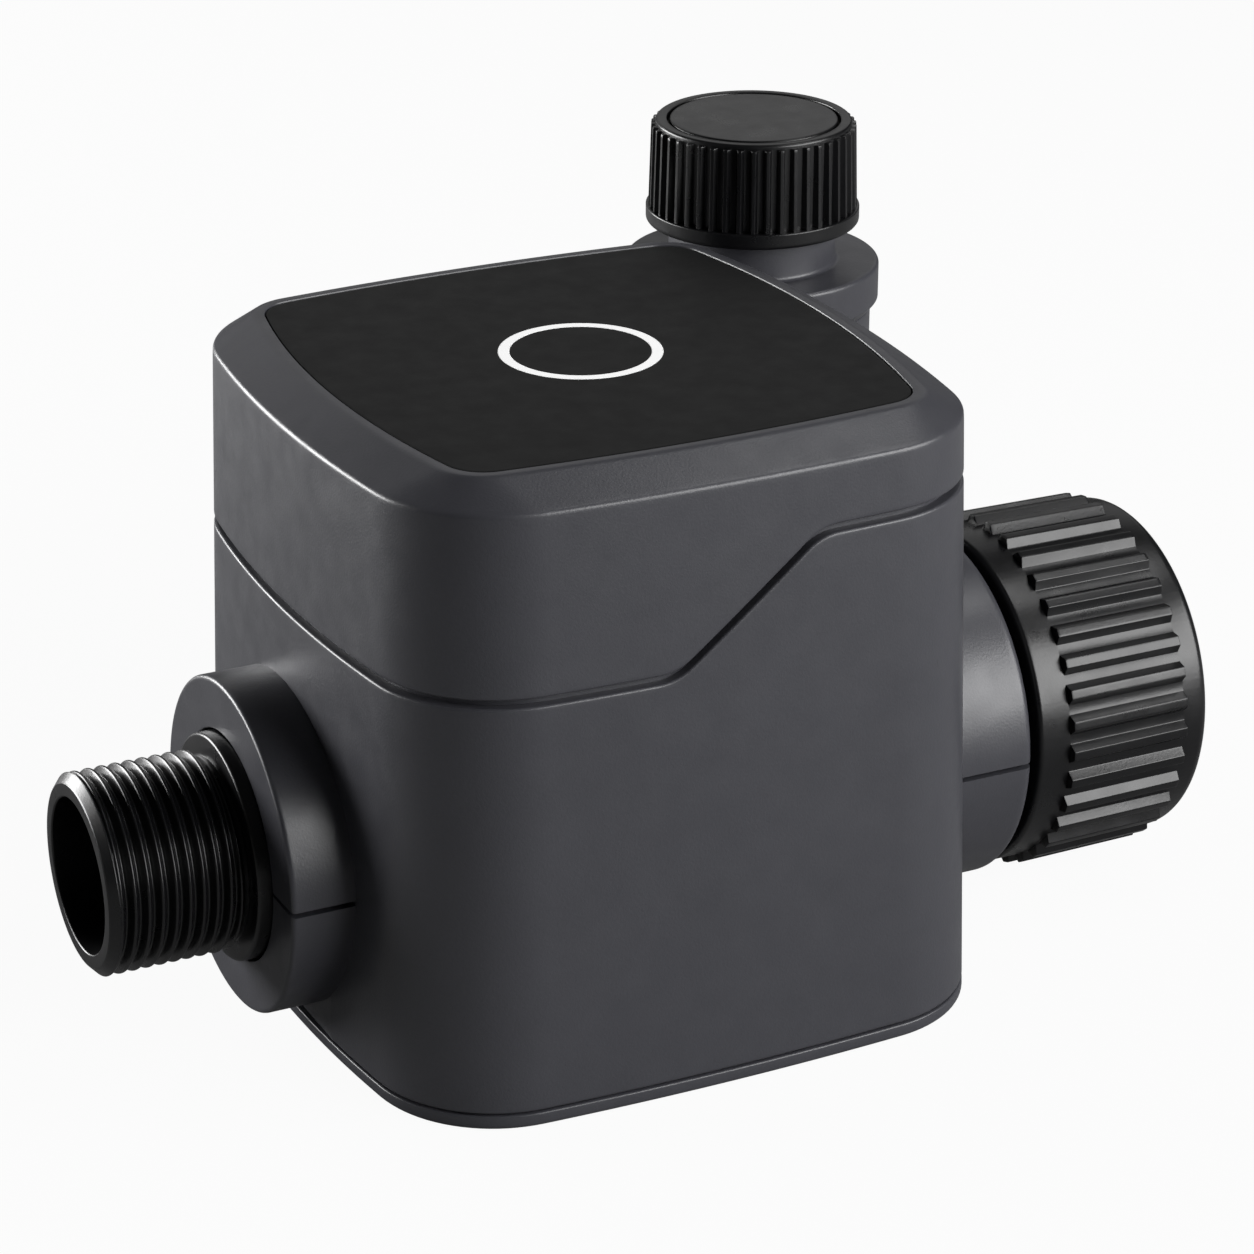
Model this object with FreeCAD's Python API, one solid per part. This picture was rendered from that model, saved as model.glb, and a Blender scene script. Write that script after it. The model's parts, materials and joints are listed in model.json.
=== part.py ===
"""Smart irrigation controller: a battery-powered garden valve in a moulded casing.

Millimetres. The origin is the centre of the base's underside. +X runs along the pipe towards
the union nut (the inlet), -X to the threaded spigot (the outlet), -Y is the front, +Z is up.
Each separate piece of the product is one node, written to parts/NODE.step.
"""
import FreeCAD
import Part
import math
import os

# Casing outline: bowed sides, rounded corners, a base a little wider than the top
casing_half_width = 41.5
casing_half_depth = 42.0
side_bow = 4.5
front_bow = 2.2
corner_radius = 17.2
rim_corner_radius = 6.6
base_flare = 2.0
chamfer_inset = 5.5
chamfer_height = 3.2
casing_wall = 2.5
top_wall = 2.0

# Base plate and the screws that hold the casing together
base_thickness = 2.0
base_seam = 0.3
base_lip = 1.6
lip_height = 3.0
screw_boss_radius = 4.0
screw_boss_inset_x = 13.0
screw_boss_inset_y = 10.5
casing_screw_radius = 1.5
casing_screw_end = 58.0
screw_head_radius = 2.9
screw_head_height = 2.2
screw_head_recess = 0.7
boss_joint_height = 50.0
screw_room = 0.25
cross_half_length = 1.8
cross_half_width = 0.4
boss_web_half_width = 0.9
boss_web_overlap = 1.0
boss_hole_room = 0.6
saddle_half_length = 2.0
saddle_top_below_axis = 8.7
cut_overrun = 1.0

# Parting line between cover and housing: low on the left, high on the right
parting_low = 57.5
parting_high = 73.0
ramp_start = -7.0
ramp_end = 12.5
ramp_bend_radius = 7.0
parting_gap = 1.1
groove_depth = 1.3
tongue_room = 0.1
tongue_rise = 2.4
gasket_height = 1.2

# Top panel with the inlaid light ring
rim_width = 1.3
panel_thickness = 2.0
panel_room = 0.12
panel_drop = 0.1
panel_corner_radius = 5.4
ring_outer_radius = 10.6
ring_stroke = 1.5
ring_depth = 0.9
ring_pin_radius = 0.7
ring_pin_count = 8
board_hole_radius = 14.5
light_board_radius = 13.6
light_board_thickness = 1.0

# Water path
pipe_height = 25.0
bore_radius = 8.0
valve_body_radius = 14.5
seat_pad_inset = 0.5
flange_thickness = 2.5
flange_radius = 18.0
socket_radius = 12.6
socket_depth = 7.0
socket_room = 0.1
o_ring_section = 1.0
o_ring_position = 3.0

# Collars that grip the pipe ends
outlet_collar_floor_room = 2.8
outlet_collar_length = 7.3
inlet_collar_floor_room = 0.5
inlet_collar_length = 12.6
inlet_collar_wall = 3.0
collar_edge = 0.6
collar_split = 0.7
collar_room = 0.3
seat_pad_radius = 20.0
web_room = 0.15
collar_web_thickness = 1.0
collar_end_radius = 1.2

# Outlet spigot with a G 3/4 thread
outlet_thread_radius = 13.22
outlet_thread_depth = 1.162
outlet_pitch = 1.814
outlet_turns = 10
thread_land = 0.35
outlet_shoulder_radius = 15.0
outlet_shoulder_length = 1.8
outlet_bore_radius = 10.0
outlet_bore_depth = 24.0
mouth_chamfer = 0.5
shoulder_edge = 0.6

# Inlet pipe and union nut with a G 1 thread
inlet_pipe_radius = 14.0
inlet_bore_radius = 9.5
inlet_cone_start = 2.0
nut_gap = 1.6
nut_band_length = 4.7
nut_rib_length = 18.2
nut_rim_length = 4.2
nut_floor_room = 0.1
nut_rim_step = 1.3
nut_rib_taper = 0.2
nut_rib_count = 36
nut_rib_depth = 1.2
nut_rib_crest_share = 0.15
nut_rib_foot_share = 0.33
nut_band_inset = 1.2
nut_band_edge = 0.8
nut_rim_chamfer = 1.6
nut_back_wall = 5.4
nut_running_room = 0.3
nut_thread_minor = 15.145
nut_thread_major = 16.62
nut_pitch = 2.309
nut_turns = 5
nut_relief_radius = 16.9
nut_relief_taper = 1.0
nut_thread_land = 0.56
nut_mouth_length = 1.5
nut_mouth_flare = 1.5
retaining_ring_thickness = 2.0
retaining_ring_radius = 15.0
retaining_groove_radius = 12.8
retaining_ring_slit = 4.0
pipe_end_length = 2.2
washer_thickness = 2.5
washer_outer_radius = 14.9
washer_inner_radius = 10.5
strainer_flange = 0.8
strainer_radius = 8.4
strainer_length = 16.0
strainer_wall = 0.8
strainer_tip_wall = 1.0
strainer_slot_margin = 2.0
strainer_slot_rows = 3
strainer_slot_columns = 10
strainer_slot_width = 2.0
strainer_slot_length = 3.2

# Ball valve
ball_radius = 11.0
ball_bore_radius = 6.5
ball_room = 0.6
seat_half_span = 13.0
seat_clearance = 0.15
stem_radius = 3.0
running_room = 0.05
tang_width = 2.4
tang_length = 9.0
tang_depth = 2.2
stem_above_ball = 0.05
stem_boss_radius = 7.0
stem_boss_height = 4.5
gland_radius = 4.7
gland_depth = 3.6
stem_ring_section = 0.8

# Gear train: pinion, idler and drive gear, all with involute teeth
gear_module = 0.8
drive_teeth = 36
idler_teeth = 24
pinion_teeth = 12
gear_width = 3.5
gear_addendum = 0.64
gear_dedendum = 1.0
gear_backlash = 0.14
pressure_angle = 20.0
flank_samples = 5
idler_direction = 45.0
pinion_direction = 58.0
deck_thickness = 2.0
gear_floor_room = 0.8
gear_tip_room = 0.8
cover_wall = 1.3
cover_roof = 1.6
pivot_radius = 1.5
deck_screw_radius = 1.2
deck_screw_offset = 11.5
deck_screw_depth = 4.0
deck_pilot_depth = 5.0
deck_post_wall = 1.6
cover_ear_radius = 3.2
cover_ear_directions = (100.0, 215.0, 320.0)
cover_screw_radius = 1.0
motor_radius = 6.2
motor_length = 26.0
motor_boss_radius = 3.0
motor_boss_height = 1.2
motor_tail_length = 2.0
motor_shaft_entry = 2.0
motor_rim = 0.8

# Flow meter
chamber_radius = 11.0
chamber_length = 19.0
cage_length = 2.4
cage_ring = 1.6
cage_spokes = 3
cage_spoke_width = 1.6
rotor_axle_radius = 0.8
rotor_hub_radius = 2.4
rotor_tip_room = 0.8
rotor_end_room = 0.3
vane_count = 6
vane_length = 8.0
vane_thickness = 1.1
vane_pitch_angle = 32.0

# Rear tower with the drain valve
tower_offset = 2.7
tower_gap = 8.5
branch_radius = 5.5
branch_bore_radius = 3.6
branch_outer_radius = 7.0
branch_neck_gap = 1.5
branch_root = 1.0
branch_offset = 7.0
tower_floor = 12.0
tower_floor_thickness = 4.0
tower_bottom_bevel = 3.0
tower_lower_radius = 13.0
tower_upper_radius = 17.2
tower_cone_low = 46.0
tower_cone_high = 54.0
tower_top = 68.0
tower_neck_radius = 15.0
tower_neck_height = 5.0
tower_chamber_radius = 8.0
drain_seat_height = 38.5
drain_seat_thickness = 3.0
drain_seat_radius = 5.0
plug_radius = 8.9
plug_bore_room = 0.1
plug_bore_top = 58.0
plug_seal_thickness = 1.8
plug_seal_inset = 0.6
plug_length = 10.0
plug_travel = 5.5
plug_screw_radius = 3.8
plug_screw_room = 0.2
plug_floor_room = 0.7
plug_floor = 1.2
tower_head_radius = 13.2
spout_radius = 4.5
spout_bore_radius = 2.5
spout_length = 9.0
spout_height = 42.5

# Bonnet and knob
bonnet_radius = 18.3
bonnet_height = 6.7
bonnet_bevel = 1.3
bonnet_bevel_width = 1.04
bonnet_edge = 0.5
bonnet_skirt_room = 0.2
bonnet_neck_radius = 12.0
bonnet_neck_height = 5.4
bonnet_neck_edge = 0.4
bonnet_neck_fillet = 0.8
bonnet_gland_height = 4.0
bonnet_gland_room = 0.2
bonnet_roof = 1.6
bonnet_guide_radius = 6.0
bonnet_guide_depth = 11.0
knob_gap = 0.4
knob_band_radius = 15.3
knob_band_height = 2.3
knob_band_edge = 0.4
knob_rib_height = 11.9
knob_rib_radius = 14.8
knob_rib_depth = 0.85
knob_rib_count = 46
knob_rib_crest_share = 0.16
knob_rib_foot_share = 0.3
knob_rib_rounding = 0.12
knob_top_radius = 13.95
knob_top_height = 0.7
knob_top_edge = 0.4
knob_crown = 3.0
knob_hub_recess = 0.6
knob_wall = 1.6
knob_hub_radius = 5.5
knob_disc_radius = 12.0
knob_disc_groove = 0.35
knob_disc_thickness = 1.4
knob_disc_edge = 0.35
stem_flat = 2.2
stem_flat_start = 0.5
stem_collar_radius = 5.2
stem_collar_height = 2.5

# Electronics above the gears
board_half_width = 31.0
board_half_depth = 26.0
board_thickness = 1.6
board_standoff = 4.0
board_part_room = 4.4
standoff_radius = 2.6
board_screw_radius = 1.0
board_screw_depth = 3.0
drive_standoffs = ((-10.0, -7.0), (9.0, -9.0))
idler_standoff = (4.0, 3.0)
pan_head_ratio = 1.9
pan_height_ratio = 1.3
pan_slot_half_width = 0.25
radio_x = 10.0
radio_y = -20.0
radio_width = 16.0
radio_depth = 14.0
radio_height = 2.4
antenna_inset = 2.0
antenna_depth = 4.0
antenna_height = 1.0
capacitor_radius = 2.0
capacitor_length = 9.0
capacitor_x = -6.0
capacitor_rows = (-20.0, -14.5)
cell_radius = 7.25
cell_length = 50.5
cell_count = 4
cell_pole_radius = 2.6
cell_pole_length = 1.2
cell_gap = 0.3
tray_wall = 1.3
tray_floor = 1.2
cell_roof_room = 2.0
contact_thickness = 0.5
contact_room = 1.2
contact_half_width = 5.0
contact_rise = 3.0
contact_nub_radius = 2.0
tray_ear_x = 12.0
tray_ear_room = 0.25
tray_ear_radius = 3.0
tray_wall_rise = 3.6
tray_screw_depth = 5.0
tray_pilot_depth = 6.0

# Worked out from the sizes above
gear_deck_height = pipe_height + valve_body_radius + stem_boss_height
gear_low = gear_deck_height + deck_thickness + gear_floor_room
gear_high = gear_low + gear_width
gear_roof_low = gear_high + gear_floor_room
gear_roof_high = gear_roof_low + cover_roof
board_low = gear_roof_high + board_standoff
board_high = board_low + board_thickness
tray_low = board_high + board_part_room
tray_inside = tray_low + tray_floor
cell_height = tray_inside + cell_gap + cell_radius
roof_low = cell_height + cell_radius + cell_roof_room
panel_low = roof_low + top_wall
casing_height = panel_low + panel_thickness
chamfer_low = casing_height - chamfer_height

screw_boss_x = casing_half_width - screw_boss_inset_x
screw_boss_y = casing_half_depth - screw_boss_inset_y
tray_half_width = cell_count * (2 * cell_radius + cell_gap) / 2 + tray_wall
tray_half_depth = cell_length / 2 + contact_room + contact_thickness + tray_wall
tray_ear_y = tray_half_depth + tray_ear_room + tray_ear_radius

outlet_collar_radius = pipe_height - outlet_collar_floor_room
inlet_collar_radius = pipe_height - inlet_collar_floor_room
nut_radius = pipe_height - nut_floor_room
nut_rim_radius = nut_radius - nut_rim_step
valve_half_length = casing_half_width - casing_wall - seat_pad_inset - flange_thickness
pipe_seat = valve_half_length + flange_thickness
flare_at_pipe = base_flare * (1 - pipe_height / chamfer_low)
face_at_pipe = casing_half_width + flare_at_pipe
outlet_collar_end = -(face_at_pipe + outlet_collar_length)
outlet_thread_start = outlet_collar_end - outlet_shoulder_length
outlet_end = outlet_thread_start - outlet_turns * outlet_pitch - mouth_chamfer
inlet_collar_end = face_at_pipe + inlet_collar_length
nut_start = inlet_collar_end + nut_gap
nut_rib_start = nut_start + nut_band_length
nut_rib_end = nut_rib_start + nut_rib_length
nut_end = nut_rib_end + nut_rim_length
ring_start = nut_start + nut_back_wall + nut_running_room
pipe_end = ring_start + retaining_ring_thickness + pipe_end_length
branch_x = inlet_collar_end - branch_offset
tower_x = branch_x + tower_offset
tower_y = casing_half_depth + tower_gap
nut_thread_end = nut_end - nut_mouth_length
nut_thread_start = nut_thread_end - nut_turns * nut_pitch

ball_x = socket_depth + seat_half_span - valve_half_length
ball_seat_high = ball_x + seat_half_span
chamber_start = valve_half_length - socket_depth - chamber_length
drive_pitch_radius = gear_module * drive_teeth / 2
idler_pitch_radius = gear_module * idler_teeth / 2
pinion_pitch_radius = gear_module * pinion_teeth / 2
idler_x = ball_x + (drive_pitch_radius + idler_pitch_radius) * math.cos(math.radians(idler_direction))
idler_y = (drive_pitch_radius + idler_pitch_radius) * math.sin(math.radians(idler_direction))
pinion_x = idler_x + (idler_pitch_radius + pinion_pitch_radius) * math.cos(math.radians(pinion_direction))
pinion_y = idler_y + (idler_pitch_radius + pinion_pitch_radius) * math.sin(math.radians(pinion_direction))

bonnet_top = tower_top + bonnet_height
neck_top = bonnet_top + bonnet_neck_height
knob_low = neck_top + knob_gap
knob_rib_low = knob_low + knob_band_height
knob_rib_high = knob_rib_low + knob_rib_height
knob_high = knob_rib_high + knob_top_height
bonnet_roof_low = bonnet_top - bonnet_roof
guide_low = bonnet_roof_low - bonnet_guide_depth
plug_seal_low = drain_seat_height
plug_low = plug_seal_low + plug_seal_thickness
plug_high = plug_low + plug_length
drain_stem_low = plug_low + plug_floor + plug_travel + plug_floor_room

X_AXIS = FreeCAD.Vector(1, 0, 0)
Y_AXIS = FreeCAD.Vector(0, 1, 0)
Z_AXIS = FreeCAD.Vector(0, 0, 1)
reach = 400.0  # longer than anything here, for cutting blocks


def vec(x, y, z):
    return FreeCAD.Vector(x, y, z)


def box(x_low, x_high, y_low, y_high, z_low, z_high):
    return Part.makeBox(x_high - x_low, y_high - y_low, z_high - z_low, vec(x_low, y_low, z_low))


def rod_x(radius, start, end, y=0.0, z=pipe_height):
    return Part.makeCylinder(radius, end - start, vec(start, y, z), X_AXIS)


def rod_y(radius, start, end, x, z):
    return Part.makeCylinder(radius, end - start, vec(x, start, z), Y_AXIS)


def rod_z(radius, low, high, x=0.0, y=0.0):
    return Part.makeCylinder(radius, high - low, vec(x, y, low), Z_AXIS)


def ring_x(outer, inner, start, end):
    return rod_x(outer, start, end).cut(rod_x(inner, start, end))


def ring_z(outer, inner, low, high, x=0.0, y=0.0):
    return rod_z(outer, low, high, x, y).cut(rod_z(inner, low, high, x, y))


def turned_x(profile):
    """Solid of revolution about the pipe axis from (x, radius) points."""
    points = [vec(x, 0, pipe_height + radius) for x, radius in profile]
    face = Part.Face(Part.makePolygon(points + points[:1]))
    return face.revolve(vec(0, 0, pipe_height), X_AXIS, 360)


def turned_z(profile, x, y):
    """Solid of revolution about a vertical axis from (radius, z) points."""
    points = [vec(x + radius, y, z) for radius, z in profile]
    face = Part.Face(Part.makePolygon(points + points[:1]))
    return face.revolve(vec(x, y, 0), Z_AXIS, 360)


def polar(x, y, radius, angle, z):
    return vec(x + radius * math.cos(angle), y + radius * math.sin(angle), z)


def corner_centre(half_x, half_y, bow_x, bow_y, corner):
    """Centre of the corner arc that is tangent to both bowed sides, and the sides' radii."""
    front_radius = (half_x ** 2 + bow_y ** 2) / (2 * bow_y)
    side_radius = (half_y ** 2 + bow_x ** 2) / (2 * bow_x)
    front_y = half_y - front_radius
    side_x = half_x - side_radius
    front_reach = front_radius - corner
    side_reach = side_radius - corner
    distance = math.hypot(side_x, front_y)
    along = (front_reach ** 2 - side_reach ** 2 + distance ** 2) / (2 * distance)
    across = math.sqrt(front_reach ** 2 - along ** 2)
    unit_x = side_x / distance
    unit_y = -front_y / distance
    centre_x = along * unit_x + across * unit_y
    centre_y = front_y + along * unit_y - across * unit_x
    if centre_x < 0:
        centre_x = along * unit_x - across * unit_y
        centre_y = front_y + along * unit_y + across * unit_x
    return centre_x, centre_y, front_y, side_x


def outline(half_x, half_y, corner, z):
    """Closed wire of four bowed sides and four corner arcs at height z."""
    centre_x, centre_y, front_y, side_x = corner_centre(half_x, half_y, side_bow, front_bow, corner)
    front_angle = math.atan2(centre_y - front_y, centre_x)
    side_angle = math.atan2(centre_y, centre_x - side_x)
    middle_angle = (front_angle + side_angle) / 2
    back_tangent = (centre_x + corner * math.cos(front_angle), centre_y + corner * math.sin(front_angle))
    corner_middle = (centre_x + corner * math.cos(middle_angle), centre_y + corner * math.sin(middle_angle))
    side_tangent = (centre_x + corner * math.cos(side_angle), centre_y + corner * math.sin(side_angle))
    edges = []
    start = vec(-back_tangent[0], back_tangent[1], z)
    stations = [
        (vec(0, half_y, z), vec(back_tangent[0], back_tangent[1], z)),
        (vec(corner_middle[0], corner_middle[1], z), vec(side_tangent[0], side_tangent[1], z)),
        (vec(half_x, 0, z), vec(side_tangent[0], -side_tangent[1], z)),
        (vec(corner_middle[0], -corner_middle[1], z), vec(back_tangent[0], -back_tangent[1], z)),
        (vec(0, -half_y, z), vec(-back_tangent[0], -back_tangent[1], z)),
        (vec(-corner_middle[0], -corner_middle[1], z), vec(-side_tangent[0], -side_tangent[1], z)),
        (vec(-half_x, 0, z), vec(-side_tangent[0], side_tangent[1], z)),
        (vec(-corner_middle[0], corner_middle[1], z), vec(-back_tangent[0], back_tangent[1], z)),
    ]
    for middle, end in stations:
        edges.append(Part.Arc(start, middle, end).toShape())
        start = end
    return Part.Wire(edges)


def casing_outline(inset, z):
    """The casing's outline at height z, set in by inset; it is wider towards the base."""
    flare = base_flare * (1 - z / chamfer_low)
    return outline(
        casing_half_width + flare - inset,
        casing_half_depth + flare - inset,
        corner_radius - inset,
        z,
    )


def casing_block(inset, low, high):
    return Part.makeLoft([casing_outline(inset, low), casing_outline(inset, high)], True, True)


def rim_outline(inset, corner, z):
    return outline(
        casing_half_width - chamfer_inset - inset,
        casing_half_depth - chamfer_inset - inset,
        corner,
        z,
    )


def casing_body():
    """The whole outside form, from the base plate's top to the rim."""
    lower = casing_block(0, base_thickness + base_seam, chamfer_low)
    chamfer = Part.makeLoft(
        [casing_outline(0, chamfer_low), rim_outline(0, rim_corner_radius, casing_height)],
        True,
        True,
    )
    return lower.fuse(chamfer)


def above_parting(rise):
    """Everything above the parting line, lifted by rise: low left, a ramp, high right."""
    slope = math.atan2(parting_high - parting_low, ramp_end - ramp_start)
    setback = ramp_bend_radius * math.tan(slope / 2)
    low_point = vec(ramp_start, 0, parting_low)
    high_point = vec(ramp_end, 0, parting_high)
    along = vec(math.cos(slope), 0, math.sin(slope))
    low_in = low_point - X_AXIS * setback
    low_out = low_point + along * setback
    high_in = high_point - along * setback
    high_out = high_point + X_AXIS * setback
    low_middle = low_in + vec(
        ramp_bend_radius * math.sin(slope / 2), 0, ramp_bend_radius * (1 - math.cos(slope / 2))
    )
    high_middle = high_out + vec(
        -ramp_bend_radius * math.sin(slope / 2), 0, -ramp_bend_radius * (1 - math.cos(slope / 2))
    )
    far_left = vec(-reach, 0, parting_low)
    far_right = vec(reach, 0, parting_high)
    top_right = vec(reach, 0, parting_high + reach)
    top_left = vec(-reach, 0, parting_high + reach)
    edges = [
        Part.makeLine(far_left, low_in),
        Part.Arc(low_in, low_middle, low_out).toShape(),
        Part.makeLine(low_out, high_in),
        Part.Arc(high_in, high_middle, high_out).toShape(),
        Part.makeLine(high_out, far_right),
        Part.makeLine(far_right, top_right),
        Part.makeLine(top_right, top_left),
        Part.makeLine(top_left, far_left),
    ]
    prism = Part.Face(Part.Wire(edges)).extrude(vec(0, 2 * reach, 0))
    prism.translate(vec(0, -reach, rise))
    return prism


def screw_places():
    return [
        (x_sign * screw_boss_x, y_sign * screw_boss_y)
        for x_sign in (-1, 1)
        for y_sign in (-1, 1)
    ]


def tray_ear_places():
    return [
        (x_sign * tray_ear_x, y_sign * tray_ear_y)
        for x_sign in (-1, 1)
        for y_sign in (-1, 1)
    ]


def upper_cover():
    """Cap with a chamfered rim, a recess for the panel and a rebate for the gasket."""
    cavity = casing_block(casing_wall, 0, roof_low)
    shell = casing_body().cut(cavity)
    shell = shell.common(above_parting(parting_gap / 2))
    rebate_top = parting_gap / 2 + tongue_rise + gasket_height
    rebate_zone = casing_block(groove_depth, 0, roof_low).cut(above_parting(rebate_top))
    shell = shell.cut(rebate_zone)
    recess = Part.makeLoft(
        [
            rim_outline(rim_width, panel_corner_radius, panel_low),
            rim_outline(rim_width, panel_corner_radius, casing_height + panel_thickness),
        ],
        True,
        True,
    )
    shell = shell.cut(recess)
    for x, y in screw_places():
        boss = rod_z(screw_boss_radius, boss_joint_height, roof_low, x, y)
        shell = shell.fuse(boss)
        pilot_top = casing_screw_end + screw_room
        shell = shell.cut(rod_z(casing_screw_radius, boss_joint_height, pilot_top, x, y))
    for x, y in tray_ear_places():
        pillar = rod_z(tray_ear_radius, tray_inside, roof_low, x, y)
        pillar = pillar.cut(rod_z(board_screw_radius, tray_inside, tray_inside + tray_pilot_depth, x, y))
        shell = shell.fuse(pillar)
    return shell.cut(rod_z(board_hole_radius, roof_low, panel_low))


def lower_housing():
    """Box open below, with the upper halves of both pipe collars and slots for the pipes."""
    low = base_thickness + base_seam
    cavity = casing_block(casing_wall, 0, casing_height)
    shell = casing_block(0, low, chamfer_low).cut(cavity)
    shell = shell.cut(above_parting(-parting_gap / 2))
    tongue_outside = casing_block(groove_depth + tongue_room, low, chamfer_low)
    tongue = tongue_outside.cut(cavity)
    tongue = tongue.cut(above_parting(parting_gap / 2 + tongue_rise))
    tongue = tongue.common(above_parting(-parting_gap))
    shell = shell.fuse(tongue)
    for x, y in screw_places():
        boss = rod_z(screw_boss_radius, low + lip_height, boss_joint_height, x, y)
        boss = boss.cut(rod_z(casing_screw_radius + screw_room, low, boss_joint_height, x, y))
        shell = shell.fuse(boss)
        shell = shell.fuse(boss_rib(x, y, low + lip_height, boss_joint_height, cavity))
    shell = shell.cut(pipe_slot(-1, outlet_shoulder_radius + collar_room))
    shell = shell.cut(pipe_slot(1, inlet_pipe_radius + collar_room))
    shell = shell.fuse(outlet_collar(True))
    shell = shell.fuse(inlet_collar(True))
    return shell.removeSplitter()


def boss_rib(x, y, low, high, cavity):
    """Web from a screw boss to the nearest wall."""
    direction = math.copysign(1, y)
    start = y + direction * (screw_boss_radius - boss_web_overlap)
    end = direction * casing_half_depth
    left = x - boss_web_half_width
    right = x + boss_web_half_width
    return box(left, right, min(start, end), max(start, end), low, high).common(cavity)


def pipe_slot(side, half_width):
    """Slot in the wall, open below, through which a pipe end is lowered."""
    inner = side * pipe_seat
    outer = side * (face_at_pipe + base_flare)
    rounded_end = rod_x(half_width, min(inner, outer), max(inner, outer))
    return slot_block(side, half_width, 0).fuse(rounded_end)


def slot_block(side, half_width, low):
    """The straight part of a pipe slot, from a height up to the pipe's axis."""
    inner = side * pipe_seat
    outer = side * (face_at_pipe + base_flare)
    return box(min(inner, outer), max(inner, outer), -half_width, half_width, low, pipe_height)


def half_space(upper):
    """The upper or lower side of the collars' split, which leaves a thin gap."""
    if upper:
        return box(-reach, reach, -reach, reach, pipe_height + collar_split / 2, reach)
    return box(-reach, reach, -reach, reach, -reach, pipe_height - collar_split / 2)


def seat_pad(side, hole):
    """Flat ring inside the wall that a pipe flange rests against."""
    inner = side * pipe_seat
    outer = side * (casing_half_width - casing_wall / 2)
    pad = ring_x(seat_pad_radius, hole, min(inner, outer), max(inner, outer))
    floor_clear = base_thickness + base_seam + lip_height
    return pad.common(box(-reach, reach, -reach, reach, floor_clear, reach))


def fit_to_wall(collar, pad, side, hole, upper):
    """The upper half grows out of the wall. The lower half straddles the wall with a little room
    and is joined through the slot under the pipe."""
    if upper:
        return collar.cut(casing_block(casing_wall, 0, casing_height)).fuse(pad)
    outside = collar.cut(casing_block(-web_room, 0, casing_height))
    inside = pad.common(casing_block(casing_wall + web_room, 0, casing_height))
    through = collar.fuse(pad).common(slot_block(side, hole - web_room, base_thickness / 2))
    return outside.fuse([inside, through])


def outlet_collar(upper):
    hole = outlet_shoulder_radius + collar_room
    wall_x = -(casing_half_width - casing_wall)
    disc = turned_x([
        (wall_x, hole),
        (wall_x, outlet_collar_radius),
        (outlet_collar_end + collar_edge, outlet_collar_radius),
        (outlet_collar_end, outlet_collar_radius - collar_edge),
        (outlet_collar_end, hole),
    ])
    collar = fit_to_wall(disc, seat_pad(-1, hole), -1, hole, upper)
    return collar.common(half_space(upper))


def inlet_collar(upper):
    hole = inlet_pipe_radius + collar_room
    wall_x = casing_half_width - casing_wall
    inside = inlet_collar_radius - inlet_collar_wall
    end_wall = inlet_collar_end - inlet_collar_wall
    tube = turned_x([
        (wall_x, hole),
        (wall_x, inlet_collar_radius),
        (inlet_collar_end - collar_end_radius, inlet_collar_radius),
        (inlet_collar_end - collar_end_radius / 3, inlet_collar_radius - collar_end_radius / 3),
        (inlet_collar_end, inlet_collar_radius - collar_end_radius),
        (inlet_collar_end, hole),
        (end_wall, hole),
        (end_wall, inside),
        (face_at_pipe + collar_web_thickness, inside),
        (face_at_pipe + collar_web_thickness, hole),
    ])
    tube = tube.cut(rod_y(branch_radius + collar_room, 0, reach, branch_x, pipe_height))
    collar = fit_to_wall(tube, seat_pad(1, hole), 1, hole, upper)
    return collar.common(half_space(upper))


def wall_web(side, half_width):
    """Part of the casing wall that closes a pipe slot from below."""
    width = half_width - web_room
    low = base_thickness / 2
    plate = casing_block(0, low, pipe_height).cut(casing_block(casing_wall, 0, casing_height))
    inner = side * (casing_half_width - 2 * casing_wall)
    outer = side * (face_at_pipe + base_flare + casing_wall)
    block = box(min(inner, outer), max(inner, outer), -width, width, low, pipe_height)
    web = plate.common(block)
    return web.common(half_space(False))


def saddle(x):
    """Cross wall under the valve body, hollowed to carry it."""
    left = x - saddle_half_length
    right = x + saddle_half_length
    top = pipe_height - saddle_top_below_axis
    wall = box(left, right, -valve_body_radius, valve_body_radius, base_thickness, top)
    return wall.cut(rod_x(valve_body_radius, left, right))


def bottom_cover():
    """Base plate with a locating lip and the lower halves of both collars."""
    plate = casing_block(0, 0, base_thickness)
    lip_top = base_thickness + lip_height
    lip = casing_block(casing_wall + tongue_room, base_thickness / 2, lip_top)
    lip = lip.cut(casing_block(casing_wall + base_lip, 0, lip_top))
    cover = plate.fuse(lip)
    for x, y in screw_places():
        cover = cover.fuse(rod_z(screw_boss_radius, base_thickness / 2, lip_top + base_seam, x, y))
    outlet_hole = outlet_shoulder_radius + collar_room
    inlet_hole = inlet_pipe_radius + collar_room
    cover = cover.fuse(wall_web(-1, outlet_hole).fuse(outlet_collar(False)))
    cover = cover.fuse(wall_web(1, inlet_hole).fuse(inlet_collar(False)))
    cover = cover.cut(rod_x(outlet_hole, outlet_collar_end - cut_overrun, cut_overrun - pipe_seat))
    cover = cover.cut(rod_x(inlet_hole, pipe_seat - cut_overrun, inlet_collar_end + cut_overrun))
    for x in (ball_x, chamber_start + cage_length + rotor_hub_radius):
        cover = cover.fuse(saddle(x))
    for x, y in screw_places():
        head_top = screw_head_recess + screw_head_height
        cover = cover.cut(rod_z(screw_head_radius + screw_room, 0, head_top, x, y))
        cover = cover.cut(rod_z(casing_screw_radius + screw_room, 0, reach, x, y))
    return cover.removeSplitter()


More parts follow.
